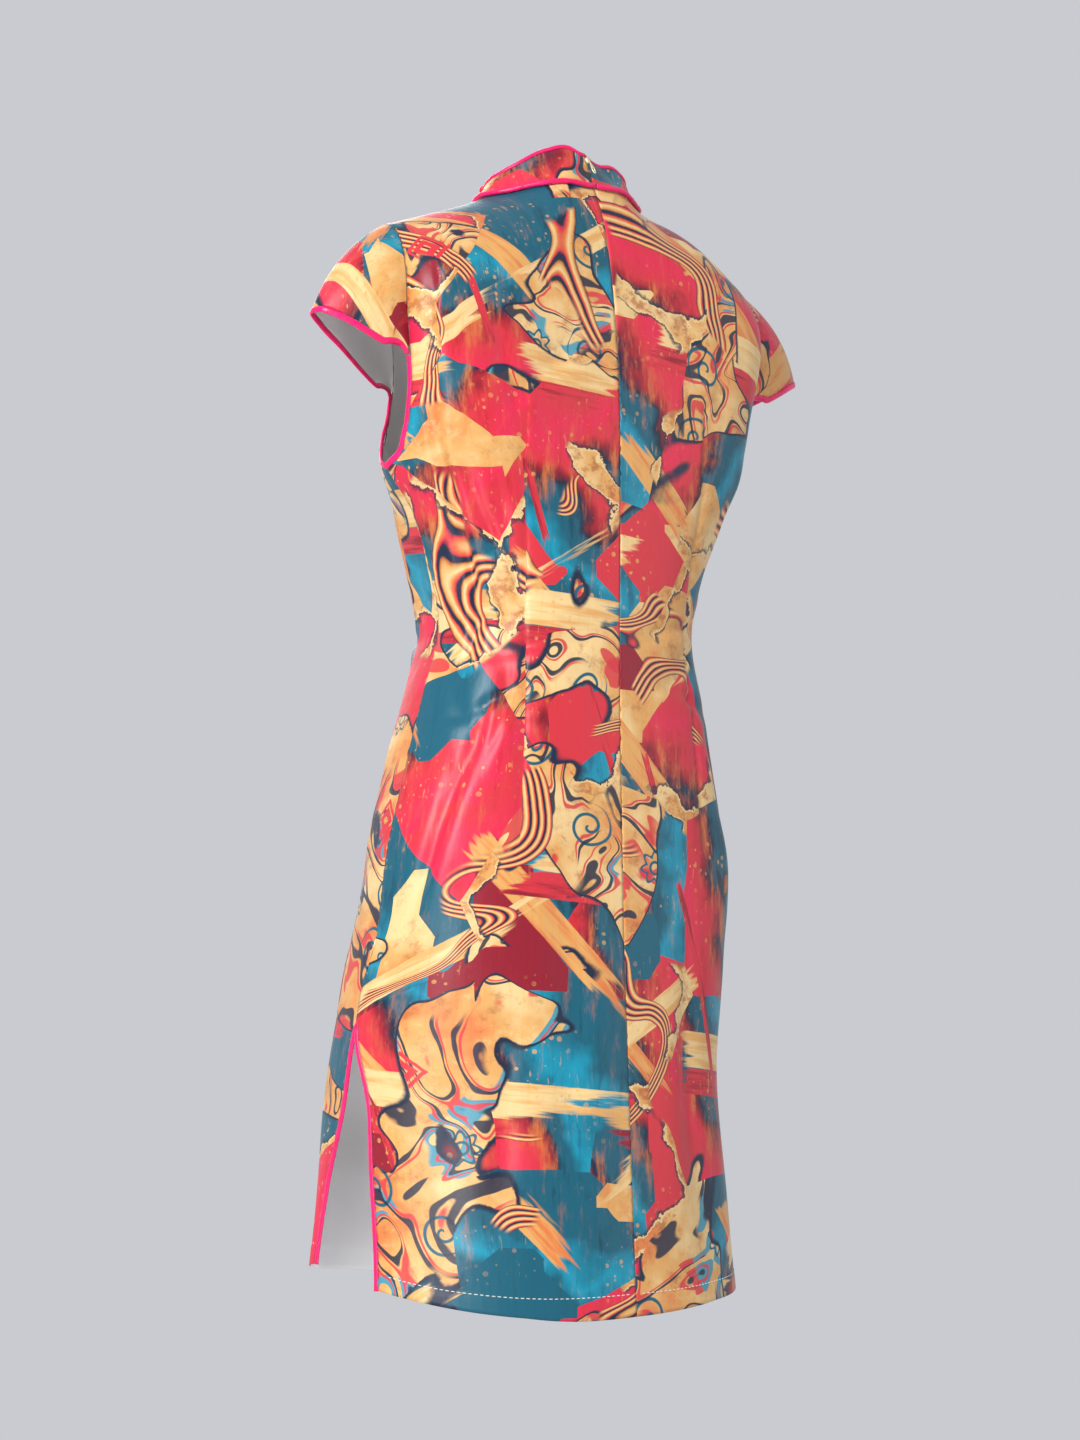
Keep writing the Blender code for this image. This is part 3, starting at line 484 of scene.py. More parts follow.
def back_angles(side):
    """Angles and levels over a back panel, hem to shoulder, centre to side."""
    u = np.linspace(0, 1, COLUMNS + 1)

    def row(z, edge):
        middle = phi_at(smooth(BACK_DART, 1, z), z, True)
        return np.where(u <= 0.5, middle * u * 2, middle + (edge - middle) * (u * 2 - 1))

    levels = lower_levels(hem_level(side * u))
    grid = [np.stack([row(z, seam_side(z, side, True)), z], -1) for z in levels]
    bottom = row(np.full(COLUMNS + 1, UNDERARM), 1)
    return np.array(grid + list(upper_block(bottom, top_edge(True), True)))


def front_angles():
    """Angles and levels over the front, hem to shoulder, left seam to right seam."""
    w = np.linspace(0, 1, COLUMNS + 1)
    u = np.interp(w, [0, NECK_COLUMNS / COLUMNS, 1], [0, 0.76, 1])
    for _ in range(60):
        u[1:-1] = (u[2:] + u[:-2] + 2 * u[1:-1]) / 4
    halves = []
    for side in (1, -1):
        levels = lower_levels(hem_level(side * np.maximum(2 - u, 1.001)))
        grid = [np.stack([2 - u * (2 - seam_side(z, side, False)), z], -1) for z in levels]
        halves.append(np.array(grid + list(upper_block(2 - u, top_edge(False), False))))
    left, right = halves
    return np.concatenate([left[:, ::-1], right[:, 1:] * np.array([-1, 1])], axis=1)


def outward(points):
    """Unit normals of a grid of points."""
    along = np.gradient(points, axis=1, edge_order=2)
    up = np.gradient(points, axis=0, edge_order=2)
    return unit(np.cross(up, along))


def drawn_in(points, edges):
    """Pulls the named edges of a grid inwards by a little, to leave a seam gap."""
    points = points.copy()
    every = slice(None)
    pairs = {"first": ((every, 0), (every, 1)), "last": ((every, -1), (every, -2)),
             "bottom": (0, 1), "top": (-1, -2)}
    for edge in edges:
        a, b = pairs[edge]
        way = points[b] - points[a]
        points[a] = points[a] + SEAM_HALF * way / np.linalg.norm(way, axis=-1, keepdims=True)
    return points


def unit(v):
    return v / np.linalg.norm(v, axis=-1, keepdims=True)


def lengths(points, axis=0):
    """Running length along a path, or of a grid up its columns (0) or along its rows (1)."""
    steps = np.linalg.norm(np.diff(points, axis=axis), axis=-1)
    return np.pad(np.cumsum(steps, axis=axis), [(int(k == axis), 0) for k in range(steps.ndim)])


def resample(path, values, share):
    """Values along a path at some shares of its length, rounded through a cubic."""
    length = lengths(path)
    table = np.column_stack([length, values])
    return np.column_stack([smooth(table, k, share * length[-1]) for k in (1, 2, 3)])


def shoulder_up(normals, cols, side):
    """Gives the shoulder seam the same upward direction on both its panels."""
    way = np.array([side * RIDGE_SLOPE, 0.0, 1.0])
    normals[-1, cols] = way / np.linalg.norm(way)


def edge_frame(angle, z):
    """Points on the surface with the outward normal at each."""
    here = surface(angle, z)
    around = surface(angle + 0.006, z) - surface(angle - 0.006, z)
    up = surface(angle, z - 0.0005) - surface(angle, z - 0.0025)
    return here, unit(np.cross(up, around))


def beyond(path, away, inner):
    """Directions square to an edge within the cloth, leading off its far side."""
    out = unit(np.cross(away, unit(np.gradient(path, axis=0))))
    return out * np.sign(np.einsum("ij,ij->i", out, path - inner))[:, None]


def side_edge(side, behind):
    """The side edge of a panel, hem to shoulder: points, outward, and off the edge."""
    points, normals = back_panel(side) if behind else front_panel()
    edge, inner = (-1, -2) if behind or side < 0 else (0, 1)
    path = points[:, edge]
    away = normals[:, edge]
    return path, away, beyond(path, away, points[:, inner])


def underarm_strip(side):
    """The armhole edge from the back end of the sleeve, under the arm, to the front."""
    def part(rows):
        last = rows[SLEEVE_ROW - 1] + (rows[SLEEVE_ROW] - rows[SLEEVE_ROW - 1]) * 0.7
        return np.concatenate([rows[UNDERARM_ROW:SLEEVE_ROW], last[None]])

    pairs = zip(side_edge(side, True), side_edge(side, False))
    path, away, off = (np.concatenate([part(back)[::-1], part(front)[1:]]) for back, front in pairs)
    return path, beyond(path, away, path - off), away


def sleeve_seam(side):
    """The sleeve seam, from its back end over the shoulder to its front end."""
    back, back_out, _ = (part[SLEEVE_ROW:] for part in side_edge(side, True))
    front, front_out, _ = (part[SLEEVE_ROW:][::-1] for part in side_edge(side, False))
    return np.concatenate([back, front[1:]]), np.concatenate([back_out, front_out[1:]])


def sleeve_grid(side):
    """A cap sleeve from its seam (first row) to its hem (last row), and outward."""
    hand = np.array([side, 1.0, 1.0])
    seam, seam_out = sleeve_seam(side)
    length = lengths(seam)
    run = length / length[-1]
    hem = resample(SLEEVE_HEM, SLEEVE_HEM, run) * hand
    ends = np.minimum(1, np.minimum(9 * run, 11 * (1 - run)))[:, None]
    hem = hem * ends + (seam + hand * np.array([0.0012, 0, -0.0030])) * (1 - ends)
    fore = (run - 0.48)[:, None] * 2
    lift = np.array([0.74, 0.0, 0.67]) - fore * np.array([0.30, 0.80, 0.25])
    full = SLEEVE_FULL * np.sin(math.pi * np.clip(run, 0.02, 0.98))[:, None] ** 0.7
    middle = (seam + hem) / 2 + unit(lift) * full * hand
    rows = np.linspace(0, 1, SLEEVE_ROWS)[:, None, None]
    grid = (1 - rows) ** 2 * seam + 2 * rows * (1 - rows) * middle + rows**2 * hem
    normals = outward(grid)
    if normals[..., 0].mean() * side < 0:
        normals = -normals
    normals[0] = seam_out
    return grid, unit(normals * ends + seam_out * (1 - ends))


def neck_rim():
    """Angles and levels of the left half of the neck seam, centre back to front."""
    turn = np.linspace(0, 1, NECK_COLUMNS + 1)
    return np.concatenate([neck_points(turn, True), neck_points(turn[::-1][1:], False)])


def collar_rings(side):
    """Base and top of half a collar, centre back to front, turned to the left side."""
    rim = neck_rim()
    base = surface(side * rim[:, 0], rim[:, 1]) * np.array([side, 1.0, 1.0])
    base[:, 0] += COLLAR_PART * np.clip(1 - base[:, 0] / 0.03, 0, 1) * (base[:, 1] < 0)
    base[0, 0] = 0.0
    inward = unit(np.array([0.0, RIDGE_Y, 0.0]) - base * np.array([1, 1, 0]))
    inward[:, 2] = 0
    length = lengths(base)
    left = (length[-1] - length) / COLLAR_CORNER
    corner = np.sqrt(np.clip(1 - (1 - np.clip(left, 0.06, 1)) ** 2, 0, 1))
    height = smooth(COLLAR, 1, length) * corner
    lean = smooth(COLLAR, 2 if side > 0 else 3, length) - 0.22 * step(length, 0.10, 0.20)
    top = base + inward * (lean * height)[:, None]
    top[:, 2] += height * np.sqrt(1 - lean**2)
    return base, top


def collar_grid(side):
    """Half a collar on the left side, from just above the neck seam to its top edge."""
    base, top = collar_rings(side)
    base = base + unit(top - base) * COLLAR_RISE
    return base + (top - base) * np.linspace(0, 1, COLLAR_ROWS)[:, None, None]


def neck_out(side):
    """Outward directions along half the neck seam, turned to the left side."""
    back = back_panel(side)[1][-1, :NECK_COLUMNS + 1]
    top = front_panel()[1][-1, ::side]
    front = top[COLUMNS - NECK_COLUMNS:COLUMNS + 1]
    return np.concatenate([back, front[1:]]) * np.array([side, 1.0, 1.0])


@lru_cache
def back_panel(side):
    """Points of a back panel and the outward direction at each."""
    grid = back_angles(side)
    points, normals = edge_frame(side * grid[..., 0], grid[..., 1])
    shoulder_up(normals, slice(NECK_COLUMNS, None), side)
    return points, normals


@lru_cache
def front_panel():
    """Points of the front and the outward direction at each."""
    grid = front_angles()
    points, normals = edge_frame(grid[..., 0], grid[..., 1])
    reach = COLUMNS - NECK_COLUMNS + 1
    shoulder_up(normals, slice(0, reach), 1)
    shoulder_up(normals, slice(-reach, None), -1)
    return points, normals


# ------------------------------------------------------------------ creases and seams

HEM_TURN = 0.017        # height of the hem stitches above the edge
HEM_THICKER = 0.0004
STITCH_DENT = 0.0005

# Small creases: side (+1 left), angle and level of each end, half width, depth.
CREASES = (
    (+1, 0.70, -0.180, 0.745, -0.390, 0.0060, -0.0034),
    (+1, 0.765, -0.200, 0.80, -0.350, 0.0050, -0.0020),
    (+1, 0.60, -0.100, 0.66, -0.175, 0.0055, -0.0016),
    (+1, 0.54, -0.085, 0.62, -0.150, 0.0045, -0.0013),
    (+1, 0.585, -0.235, 0.545, -0.320, 0.0060, -0.0020),
    (+1, 0.44, -0.250, 0.50, -0.360, 0.0055, -0.0014),
    (+1, 0.16, -0.345, 0.62, -0.330, 0.0050, -0.0017),
    (+1, 0.10, -0.372, 0.66, -0.385, 0.0055, -0.0019),
    (+1, 0.40, -0.350, 0.85, -0.362, 0.0045, -0.0016),
    (+1, 0.30, -0.405, 0.85, -0.440, 0.0050, -0.0017),
    (+1, 0.56, -0.420, 0.74, -0.560, 0.0085, -0.0034),
    (+1, 0.68, -0.470, 0.84, -0.640, 0.0075, -0.0025),
    (+1, 0.48, -0.390, 0.53, -0.480, 0.0055, -0.0014),
    (+1, 0.06, -0.120, 0.40, -0.210, 0.0070, -0.0013),
    (+1, 0.30, -0.060, 0.36, -0.190, 0.0060, -0.0013),
    (+1, 0.42, -0.640, 0.46, -0.820, 0.0100, -0.0017),
    (+1, 0.18, -0.560, 0.22, -0.780, 0.0110, -0.0016),
    (-1, 0.08, -0.360, 0.55, -0.350, 0.0050, -0.0017),
    (-1, 0.12, -0.395, 0.60, -0.420, 0.0055, -0.0017),
    (-1, 0.30, -0.070, 0.34, -0.190, 0.0060, -0.0012),
    (-1, 0.60, -0.200, 0.72, -0.330, 0.0055, -0.0026),
    (-1, 0.70, -0.240, 0.78, -0.400, 0.0050, -0.0022),
    (-1, 0.50, -0.430, 0.70, -0.590, 0.0080, -0.0028),
    (-1, 0.25, -0.600, 0.30, -0.800, 0.0105, -0.0016),
    (+1, 1.22, -0.190, 1.30, -0.380, 0.0060, -0.0028),
    (-1, 1.25, -0.200, 1.34, -0.360, 0.0055, -0.0026),
    (+1, 1.20, -0.370, 1.75, -0.355, 0.0050, -0.0018),
    (-1, 1.25, -0.385, 1.80, -0.372, 0.0052, -0.0018),
    (+1, 1.35, -0.400, 1.85, -0.392, 0.0045, -0.0013),
    (+1, 1.30, -0.430, 1.48, -0.600, 0.0085, -0.0026),
    (-1, 1.28, -0.450, 1.44, -0.620, 0.0080, -0.0024),
    (+1, 1.62, -0.560, 1.66, -0.800, 0.0110, -0.0017),
    (-1, 1.70, -0.580, 1.72, -0.820, 0.0110, -0.0017),
    (+1, 1.42, -0.080, 1.55, -0.190, 0.0065, -0.0013),
    (-1, 1.45, -0.090, 1.60, -0.200, 0.0065, -0.0013),
)
DEEPER = 1.7            # all creases together


def creases(angle, z):
    """Height of the small creases: a narrow valley with a softer rise beside it."""
    total = np.zeros_like(angle)
    for row in CREASES:
        side, a0, _, a1, _, width, depth = row
        along, across, length = beside_line(row, angle, z)
        across = across + 0.10 * length * (along - 0.5) ** 2 + 0.0022 * np.sin(8 * along + 40 * a0)
        fade = step(along, -0.15, 0.35) * (1 - step(along, 0.65, 1.15))
        valley = np.exp(-((across / width) ** 2))
        rise = np.exp(-(((across - 2.2 * width) / (1.6 * width)) ** 2))
        uneven = 0.8 + 0.2 * np.sin(14 * along + 9 * a1)
        total += DEEPER * depth * fade * uneven * (valley - 0.45 * rise) * (angle * side > 0)
    return total


def ripple(z, seed):
    """An uneven wave along a seam, about a centimetre long."""
    drift = 2.1 * np.sin(41 * z + seed) + 1.4 * np.sin(97 * z + 2 * seed)
    return np.sin(2 * math.pi * z / 0.0115 + drift)


def seam_pull(distance, z, seed, reach=0.010, depth=0.00035):
    """Puckers that fade away from a sewn line."""
    swell = 0.55 + 0.45 * np.sin(23 * z + 3 * seed)
    return depth * swell * ripple(z, seed) * np.exp(-distance / reach)


def hem_turning(above):
    """The turned-up hem is a little thicker, with a dent at its stitches."""
    turned = HEM_THICKER * (1 - step(above, HEM_TURN, HEM_TURN + 0.002))
    return turned - STITCH_DENT * np.exp(-(((above - HEM_TURN) / 0.0014) ** 2))


# ------------------------------------------------------------------ meshes

SHELL = 0.0011          # thickness of the shown cloth
LIPS = (0.0005, 0.0012)     # depths of the two rows of a seam's lip
PUCKER = (0.009, 0.0005)    # reach and depth of the puckers at a side seam


def shown(name, points, faces, corners=None):
    """A smooth object, with cloth coordinates in metres for the corners of its faces."""
    mesh = bpy.data.meshes.new(name)
    mesh.from_pydata(points, [], faces)
    mesh.polygons.foreach_set("use_smooth", np.ones(len(faces), dtype=bool))
    if corners is not None:
        layer = mesh.uv_layers.new(name="cloth")
        layer.data.foreach_set("uv", np.asarray(corners, np.float32).ravel())
    thing = bpy.data.objects.new(name, mesh)
    bpy.context.scene.collection.objects.link(thing)
    return thing


def quads(rows, cols):
    """Rows and columns of the four corners of each quad of a grid."""
    i, j = (part.ravel() for part in np.mgrid[:rows - 1, :cols - 1])
    return np.stack([i, i, i + 1, i + 1], -1), np.stack([j, j + 1, j + 1, j], -1)


def grid_mesh(name, points, u, v, jump=None):
    """A quad grid facing outwards, with cloth coordinates u and v.

    jump is (column, amount per row): faces from that column on take u + amount, so that
    the print breaks along a dart.
    """
    row, col = quads(*u.shape)
    corners = np.stack([u[row, col], v[row, col]], -1)
    if jump is not None:
        corners[..., 0] += np.where(col[:, :1] >= jump[0], jump[1][row], 0)
    faces = row * u.shape[1] + col
    if facing(points) < 0:
        faces = faces[:, ::-1]
        corners = corners[:, ::-1]
    return shown(name, points.reshape(-1, 3), faces, corners)


def facing(points):
    """Positive when the grid's faces look away from the body's axis."""
    normal = np.cross(points[:-1, 1:] - points[:-1, :-1], points[1:, :-1] - points[:-1, :-1])
    away = points[:-1, :-1].copy()
    away[..., 2] = np.maximum(away[..., 2] + 0.12, 0) * 2
    return np.sum(normal * away)


def thicken(thing):
    solid = thing.modifiers.new("thickness", "SOLIDIFY")
    solid.thickness = SHELL
    solid.offset = -1.0
    solid.use_even_offset = False
    solid.material_offset = 1
    solid.material_offset_rim = 0


def tube_mesh(name, rings, closed=False):
    """A tube through rings, with caps, or closed to itself end to end."""
    rings = np.asarray(rings)
    rows, around = rings.shape[:2]
    u = lengths(np.concatenate([rings, rings[:, :1]], axis=1), 1)
    v = lengths(rings.mean(axis=1))
    row, col = quads(rows + closed, around + 1)
    row %= rows
    faces = (row * around + col % around).tolist()
    corners = np.stack([u[row, col], v[row]], -1).reshape(-1, 2).tolist()
    if not closed:
        for end, cap in ((0, range(around - 1, -1, -1)), (rows - 1, range(around))):
            faces.append([end * around + k for k in cap])
            corners += [(u[end, k], v[end]) for k in cap]
    verts = rings.reshape(-1, 3)
    thing = shown(name, verts, faces, corners)
    fans = [(face[0], b, c) for face in faces for b, c in zip(face[1:-1], face[2:])]
    a, b, c = verts[np.array(fans).T]
    if np.sum(a * np.cross(b, c)) < 0:
        thing.data.flip_normals()
    return thing


def dress(thing, materials, replaced=(), body="dress"):
    """Materials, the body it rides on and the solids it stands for."""
    for look in materials:
        thing.data.materials.append(look)
    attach(thing, body)
    if replaced:
        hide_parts(*replaced)


# ------------------------------------------------------------------ material nodes


def maths(operation):
    """A method that puts a value and others through one math node."""
    def method(self, *others):
        node = self.tree.nodes.new("ShaderNodeMath")
        node.operation = operation
        for socket, given in zip(node.inputs, (self,) + others):
            plug(self.tree, given, socket)
        return Value(self.tree, node.outputs[0])
    return method


class Value:
    """A number or vector in a node tree that can be added, multiplied and so on."""

    def __init__(self, tree, socket):
        self.tree = tree
        self.socket = socket

    def __rsub__(self, other):
        return Value(self.tree, other) - self

    __add__ = __radd__ = maths("ADD")
    __sub__ = maths("SUBTRACT")
    __mul__ = __rmul__ = maths("MULTIPLY")
    abs = maths("ABSOLUTE")
    power = maths("POWER")
    sine = maths("SINE")
    cosine = maths("COSINE")
    turn = maths("ARCTAN2")
    low = maths("MINIMUM")
    fraction = maths("FRACT")
    above = maths("GREATER_THAN")


def plug(tree, given, socket):
    """Links a value to a socket, or sets the socket to a number or colour."""
    if isinstance(given, Value):
        given = given.socket
    if isinstance(given, bpy.types.NodeSocket):
        tree.links.new(given, socket)
    elif socket.type == "RGBA" and len(given) == 3:
        socket.default_value = (*given, 1.0)
    else:
        socket.default_value = given


class Looks:
    """Builds one material's node tree."""

    def __init__(self, name):
        self.material = bpy.data.materials.new(name)
        self.material.use_nodes = True
        self.tree = self.material.node_tree
        self.shader = self.tree.nodes["Principled BSDF"]

    def outputs(self, kind, inputs, **settings):
        """All the outputs of a new node."""
        node = self.tree.nodes.new("ShaderNode" + kind)
        for key, value in settings.items():
            setattr(node, key, value)
        for key, given in inputs.items():
            plug(self.tree, given, node.inputs[key])
        return [Value(self.tree, out) for out in node.outputs]

    def node(self, kind, inputs, out=0, **settings):
        return self.outputs(kind, inputs, **settings)[out]

    def cloth(self, scale=1.0, turn=0.0):
        """Cloth coordinates in metres, turned and scaled."""
        inputs = {"Vector": self.node("UVMap", {}, uv_map="cloth"), "Rotation": (0, 0, turn),
                  "Scale": (scale, scale, scale)}
        return self.node("Mapping", inputs)

    def solid(self):
        """Coordinates that ride on the object."""
        return self.node("TexCoord", {}, 3)

    def split(self, vector):
        return self.outputs("SeparateXYZ", {0: vector})

    def vector(self, operation, *given):
        return self.node("VectorMath", dict(enumerate(given)), operation=operation)

    def stretched(self, place, x, y):
        return self.vector("MULTIPLY", place, (x, y, 1.0))

    def noise(self, vector, scale, detail=2.0, rough=0.5, out=0, distort=0.0):
        inputs = {"Vector": vector, "Scale": scale, "Detail": detail, "Roughness": rough,
                  "Distortion": distort}
        return self.node("TexNoise", inputs, out)

    def cells(self, where, scale, feature="F1", metric="EUCLIDEAN"):
        """Distance to the nearest seed of a cell pattern, its colour and its place."""
        return self.outputs("TexVoronoi", {"Vector": where, "Scale": scale}, feature=feature,
                            distance=metric, voronoi_dimensions="2D")[:3]

    def smooth(self, value, low, high):
        """0 below low and 1 above high, smooth between; turned round if low > high."""
        flip = not isinstance(low, Value) and low > high
        if flip:
            low, high = high, low
        inputs = {"Value": value, "From Min": low, "From Max": high,
                  "To Min": float(flip), "To Max": float(not flip)}
        return self.node("MapRange", inputs, interpolation_type="SMOOTHSTEP")

    def mix(self, share, first, second, blend="MIX"):
        return self.node("Mix", {0: share, 6: first, 7: second}, 2, data_type="RGBA",
                         blend_type=blend, clamp_factor=True)

    def ramp(self, value, stops):
        node = self.tree.nodes.new("ShaderNodeValToRGB")
        elements = node.color_ramp.elements
        while len(elements) < len(stops):
            elements.new(0.5)
        for element, (place, colour) in zip(elements, stops):
            element.position = place
            element.color = (*colour, 1.0)
        plug(self.tree, value, node.inputs[0])
        return Value(self.tree, node.outputs[0])

    def bump(self, height, strength, distance, under=None):
        inputs = {"Height": height, "Strength": strength, "Distance": distance}
        if under is not None:
            inputs["Normal"] = under
        return self.node("Bump", inputs)

    def weave(self, under, strength=0.25):
        """Fine warp and weft over a bumped surface."""
        x, y, _ = self.split(self.cloth())
        warp = (x * (2 * math.pi / 0.00055)).sine()
        weft = (y * (2 * math.pi / 0.00040)).sine()
        return self.bump(warp * 0.5 + weft * 0.5, strength, 0.00006, under)

    def finish(self, colour, normal=None, rough=None, **values):
        for key, value in values.items():
            self.shader.inputs[key.replace("_", " ")].default_value = value
        for key, given in (("Base Color", colour), ("Normal", normal), ("Roughness", rough)):
            if given is not None:
                plug(self.tree, given, self.shader.inputs[key])
        return self.material


def linear(red, green, blue):
    """An sRGB colour from 0-255 as linear light."""
    parts = (red / 255, green / 255, blue / 255)
    return tuple(c / 12.92 if c <= 0.04045 else ((c + 0.055) / 1.055) ** 2.4 for c in parts)


SAND = linear(232, 172, 98)
CREAM = linear(244, 208, 146)
PEACH = linear(230, 128, 66)
CORAL = linear(220, 48, 62)
CRIMSON = linear(150, 14, 40)
PINK_RED = linear(234, 36, 78)
TEAL = linear(4, 94, 116)
NAVY = linear(14, 34, 62)
TURQUOISE = linear(0, 152, 180)
OCHRE = linear(176, 92, 40)
MAGENTA = linear(246, 8, 112)


# ------------------------------------------------------------------ the print

PATCHES = 0.80          # print fields per decimetre
SHARDS = 1.55           # the smaller straight-edged pieces, per decimetre
ISLAND = 0.545          # noise level above which the paper is drawn
# Bands: turn, period and half width (dm), phase, scale of the gaps, colours.
BANDS = (
    (0.80, 1.70, 0.120, 0.20, 0.70, SAND, PEACH),
    (-0.55, 2.10, 0.090, 0.65, 0.80, CREAM, SAND),
    (0.08, 1.90, 0.140, 0.35, 0.62, CREAM, SAND),
    (0.08, 1.90, 0.100, 0.48, 0.62, CORAL, CRIMSON),
    (1.25, 2.60, 0.030, 0.10, 0.90, CORAL, CRIMSON),
)


def bands(look, flat, turn, period, half_width, phase, grit):
    """Coverage of parallel straight bands."""
    x, y = flat
    across = y * (math.cos(turn) / period) - x * (math.sin(turn) / period) + phase
    off = ((across.fraction() - 0.5).abs() * period) + grit
    return look.smooth(off, half_width + 0.004, half_width - 0.004)


def paper(look, place):
    """Sand-coloured paper with blots."""
    broad = look.noise(place, 1.3, 3.0, 0.6)
    colour = look.mix(look.smooth(broad, 0.38, 0.54), CREAM, SAND)
    colour = look.mix(look.smooth(broad, 0.54, 0.68) * 0.9, colour, PEACH)
    stain = look.noise(place, 4.5, 6.0, 0.75)
    colour = look.mix(look.smooth(stain, 0.50, 0.68) * 0.6, colour, OCHRE)
    return look.mix(look.smooth(stain, 0.47, 0.34) * 0.5, colour, CREAM)


def paint(look, place, local, pick):
    """Airbrushed reds and blues that fade into one another across each field."""
    turn = pick[1] * 6.283
    slope = local[0] * turn.cosine() + local[1] * turn.sine()
    tone = pick[0] * 0.70 + slope * 0.50 + look.noise(place, 1.7, 3.0, 0.55) * 0.44 + 0.005
    colour = look.ramp(tone, (
        (0.10, PINK_RED), (0.26, CORAL), (0.34, PINK_RED), (0.46, CORAL), (0.52, CRIMSON),
        (0.560, NAVY), (0.60, TEAL), (0.66, TEAL), (0.74, TURQUOISE), (0.86, TEAL),
    ))
    brushed = look.noise(look.stretched(place, 5.5, 1.1), 1.5, 5.0, 0.7)
    seam = look.smooth((tone - 0.535).abs(), 0.11, 0.02)
    colour = look.mix(look.smooth(brushed, 0.46, 0.66) * seam * 0.75, colour, PEACH)
    colour = look.mix(look.smooth(brushed, 0.54, 0.74) * 0.35, colour, PEACH)
    return look.mix(look.smooth(brushed, 0.48, 0.30) * 0.6, colour, NAVY, "SOFT_LIGHT")


def spatter(look, place):
    """Fine pale spots and short scratches."""
    distance, colour, _ = look.cells(place, 15.0)
    size = look.split(colour)[0].power(5.0) * 0.32
    spots = 1 - look.smooth(distance, size - 0.03, size + 0.03)
    bits = look.noise(look.stretched(place, 26.0, 5.0), 1.0, 2.0, 0.6)
    marks = look.smooth(bits, 0.64, 0.68)
    where = look.smooth(look.noise(place, 1.1, 2.0), 0.46, 0.62)
    return (spots + marks * 0.7).low(1.0) * where


def drawing(look, place, level):
    """Coverage of dark lines, of red lines and of colour washes beside them."""
    weight = look.noise(place, 3.1, 2.0) * 0.42 - 0.10
    part = (level * 10.0).fraction()
    dark = 1 - look.smooth((part - 0.5).abs(), weight * 0.6, weight)
    red = 1 - look.smooth((part - 0.74).abs(), weight * 0.4, weight * 0.75)
    where = look.smooth(look.noise(place, 1.2, 1.0), 0.38, 0.44)
    fills = look.smooth(part, 0.52, 0.56) * look.smooth(look.noise(place, 1.7, 1.0), 0.55, 0.57)
    return dark * where, red * where, fills


def strands(look, flow):
    """Ribbons of flowing parallel lines: coverage and colour."""
    cover = look.smooth(flow, 0.459, 0.463) * look.smooth(flow, 0.541, 0.537)
    colour = look.ramp((flow * 50.0).fraction(), (
        (0.0, NAVY), (0.10, NAVY), (0.15, OCHRE), (0.30, SAND), (0.50, CREAM), (0.66, PEACH),
        (0.80, CORAL), (0.88, NAVY),
    ))
    return cover, colour


def motifs(look, place, spread):
    """Small drawn suns, curls and diamond seals: line coverage and seal coverage."""
    _, colour, seed = look.cells(spread, 1.7)
    x, y, _ = look.split(look.vector("SUBTRACT", spread, seed))
    kind, lean, _ = look.split(colour)
    radius = (x * x + y * y).power(0.5)
    angle = y.turn(x) + lean * 6.0
    rays = (angle * 7.0).cosine() * 0.022
    sun = look.smooth((radius - 0.105 - rays).abs(), 0.017, 0.008)
    sun = (sun + look.smooth((radius - 0.045).abs(), 0.014, 0.007)).low(1.0)
    turns = (radius * 9.0 + angle * (1 / (2 * math.pi))).fraction()
    curl = look.smooth((turns - 0.5).abs(), 0.16, 0.08) * look.smooth(radius, 0.20, 0.18)
    lines = look.node("Mix", {0: kind.above(0.52), 2: sun * kind.above(0.28), 3: curl})
    lines = lines * (1 - kind.above(0.80))
    diamond = x.abs() + y.abs() + (look.noise(place, 9.0, 2.0) - 0.5) * 0.04
    frame = look.smooth((diamond - 0.115).abs(), 0.014, 0.008) + look.smooth(diamond, 0.045, 0.035)
    seal = look.smooth(diamond, 0.170, 0.158) * (1 - frame.low(1.0)) * kind.above(0.90)
    return lines, seal


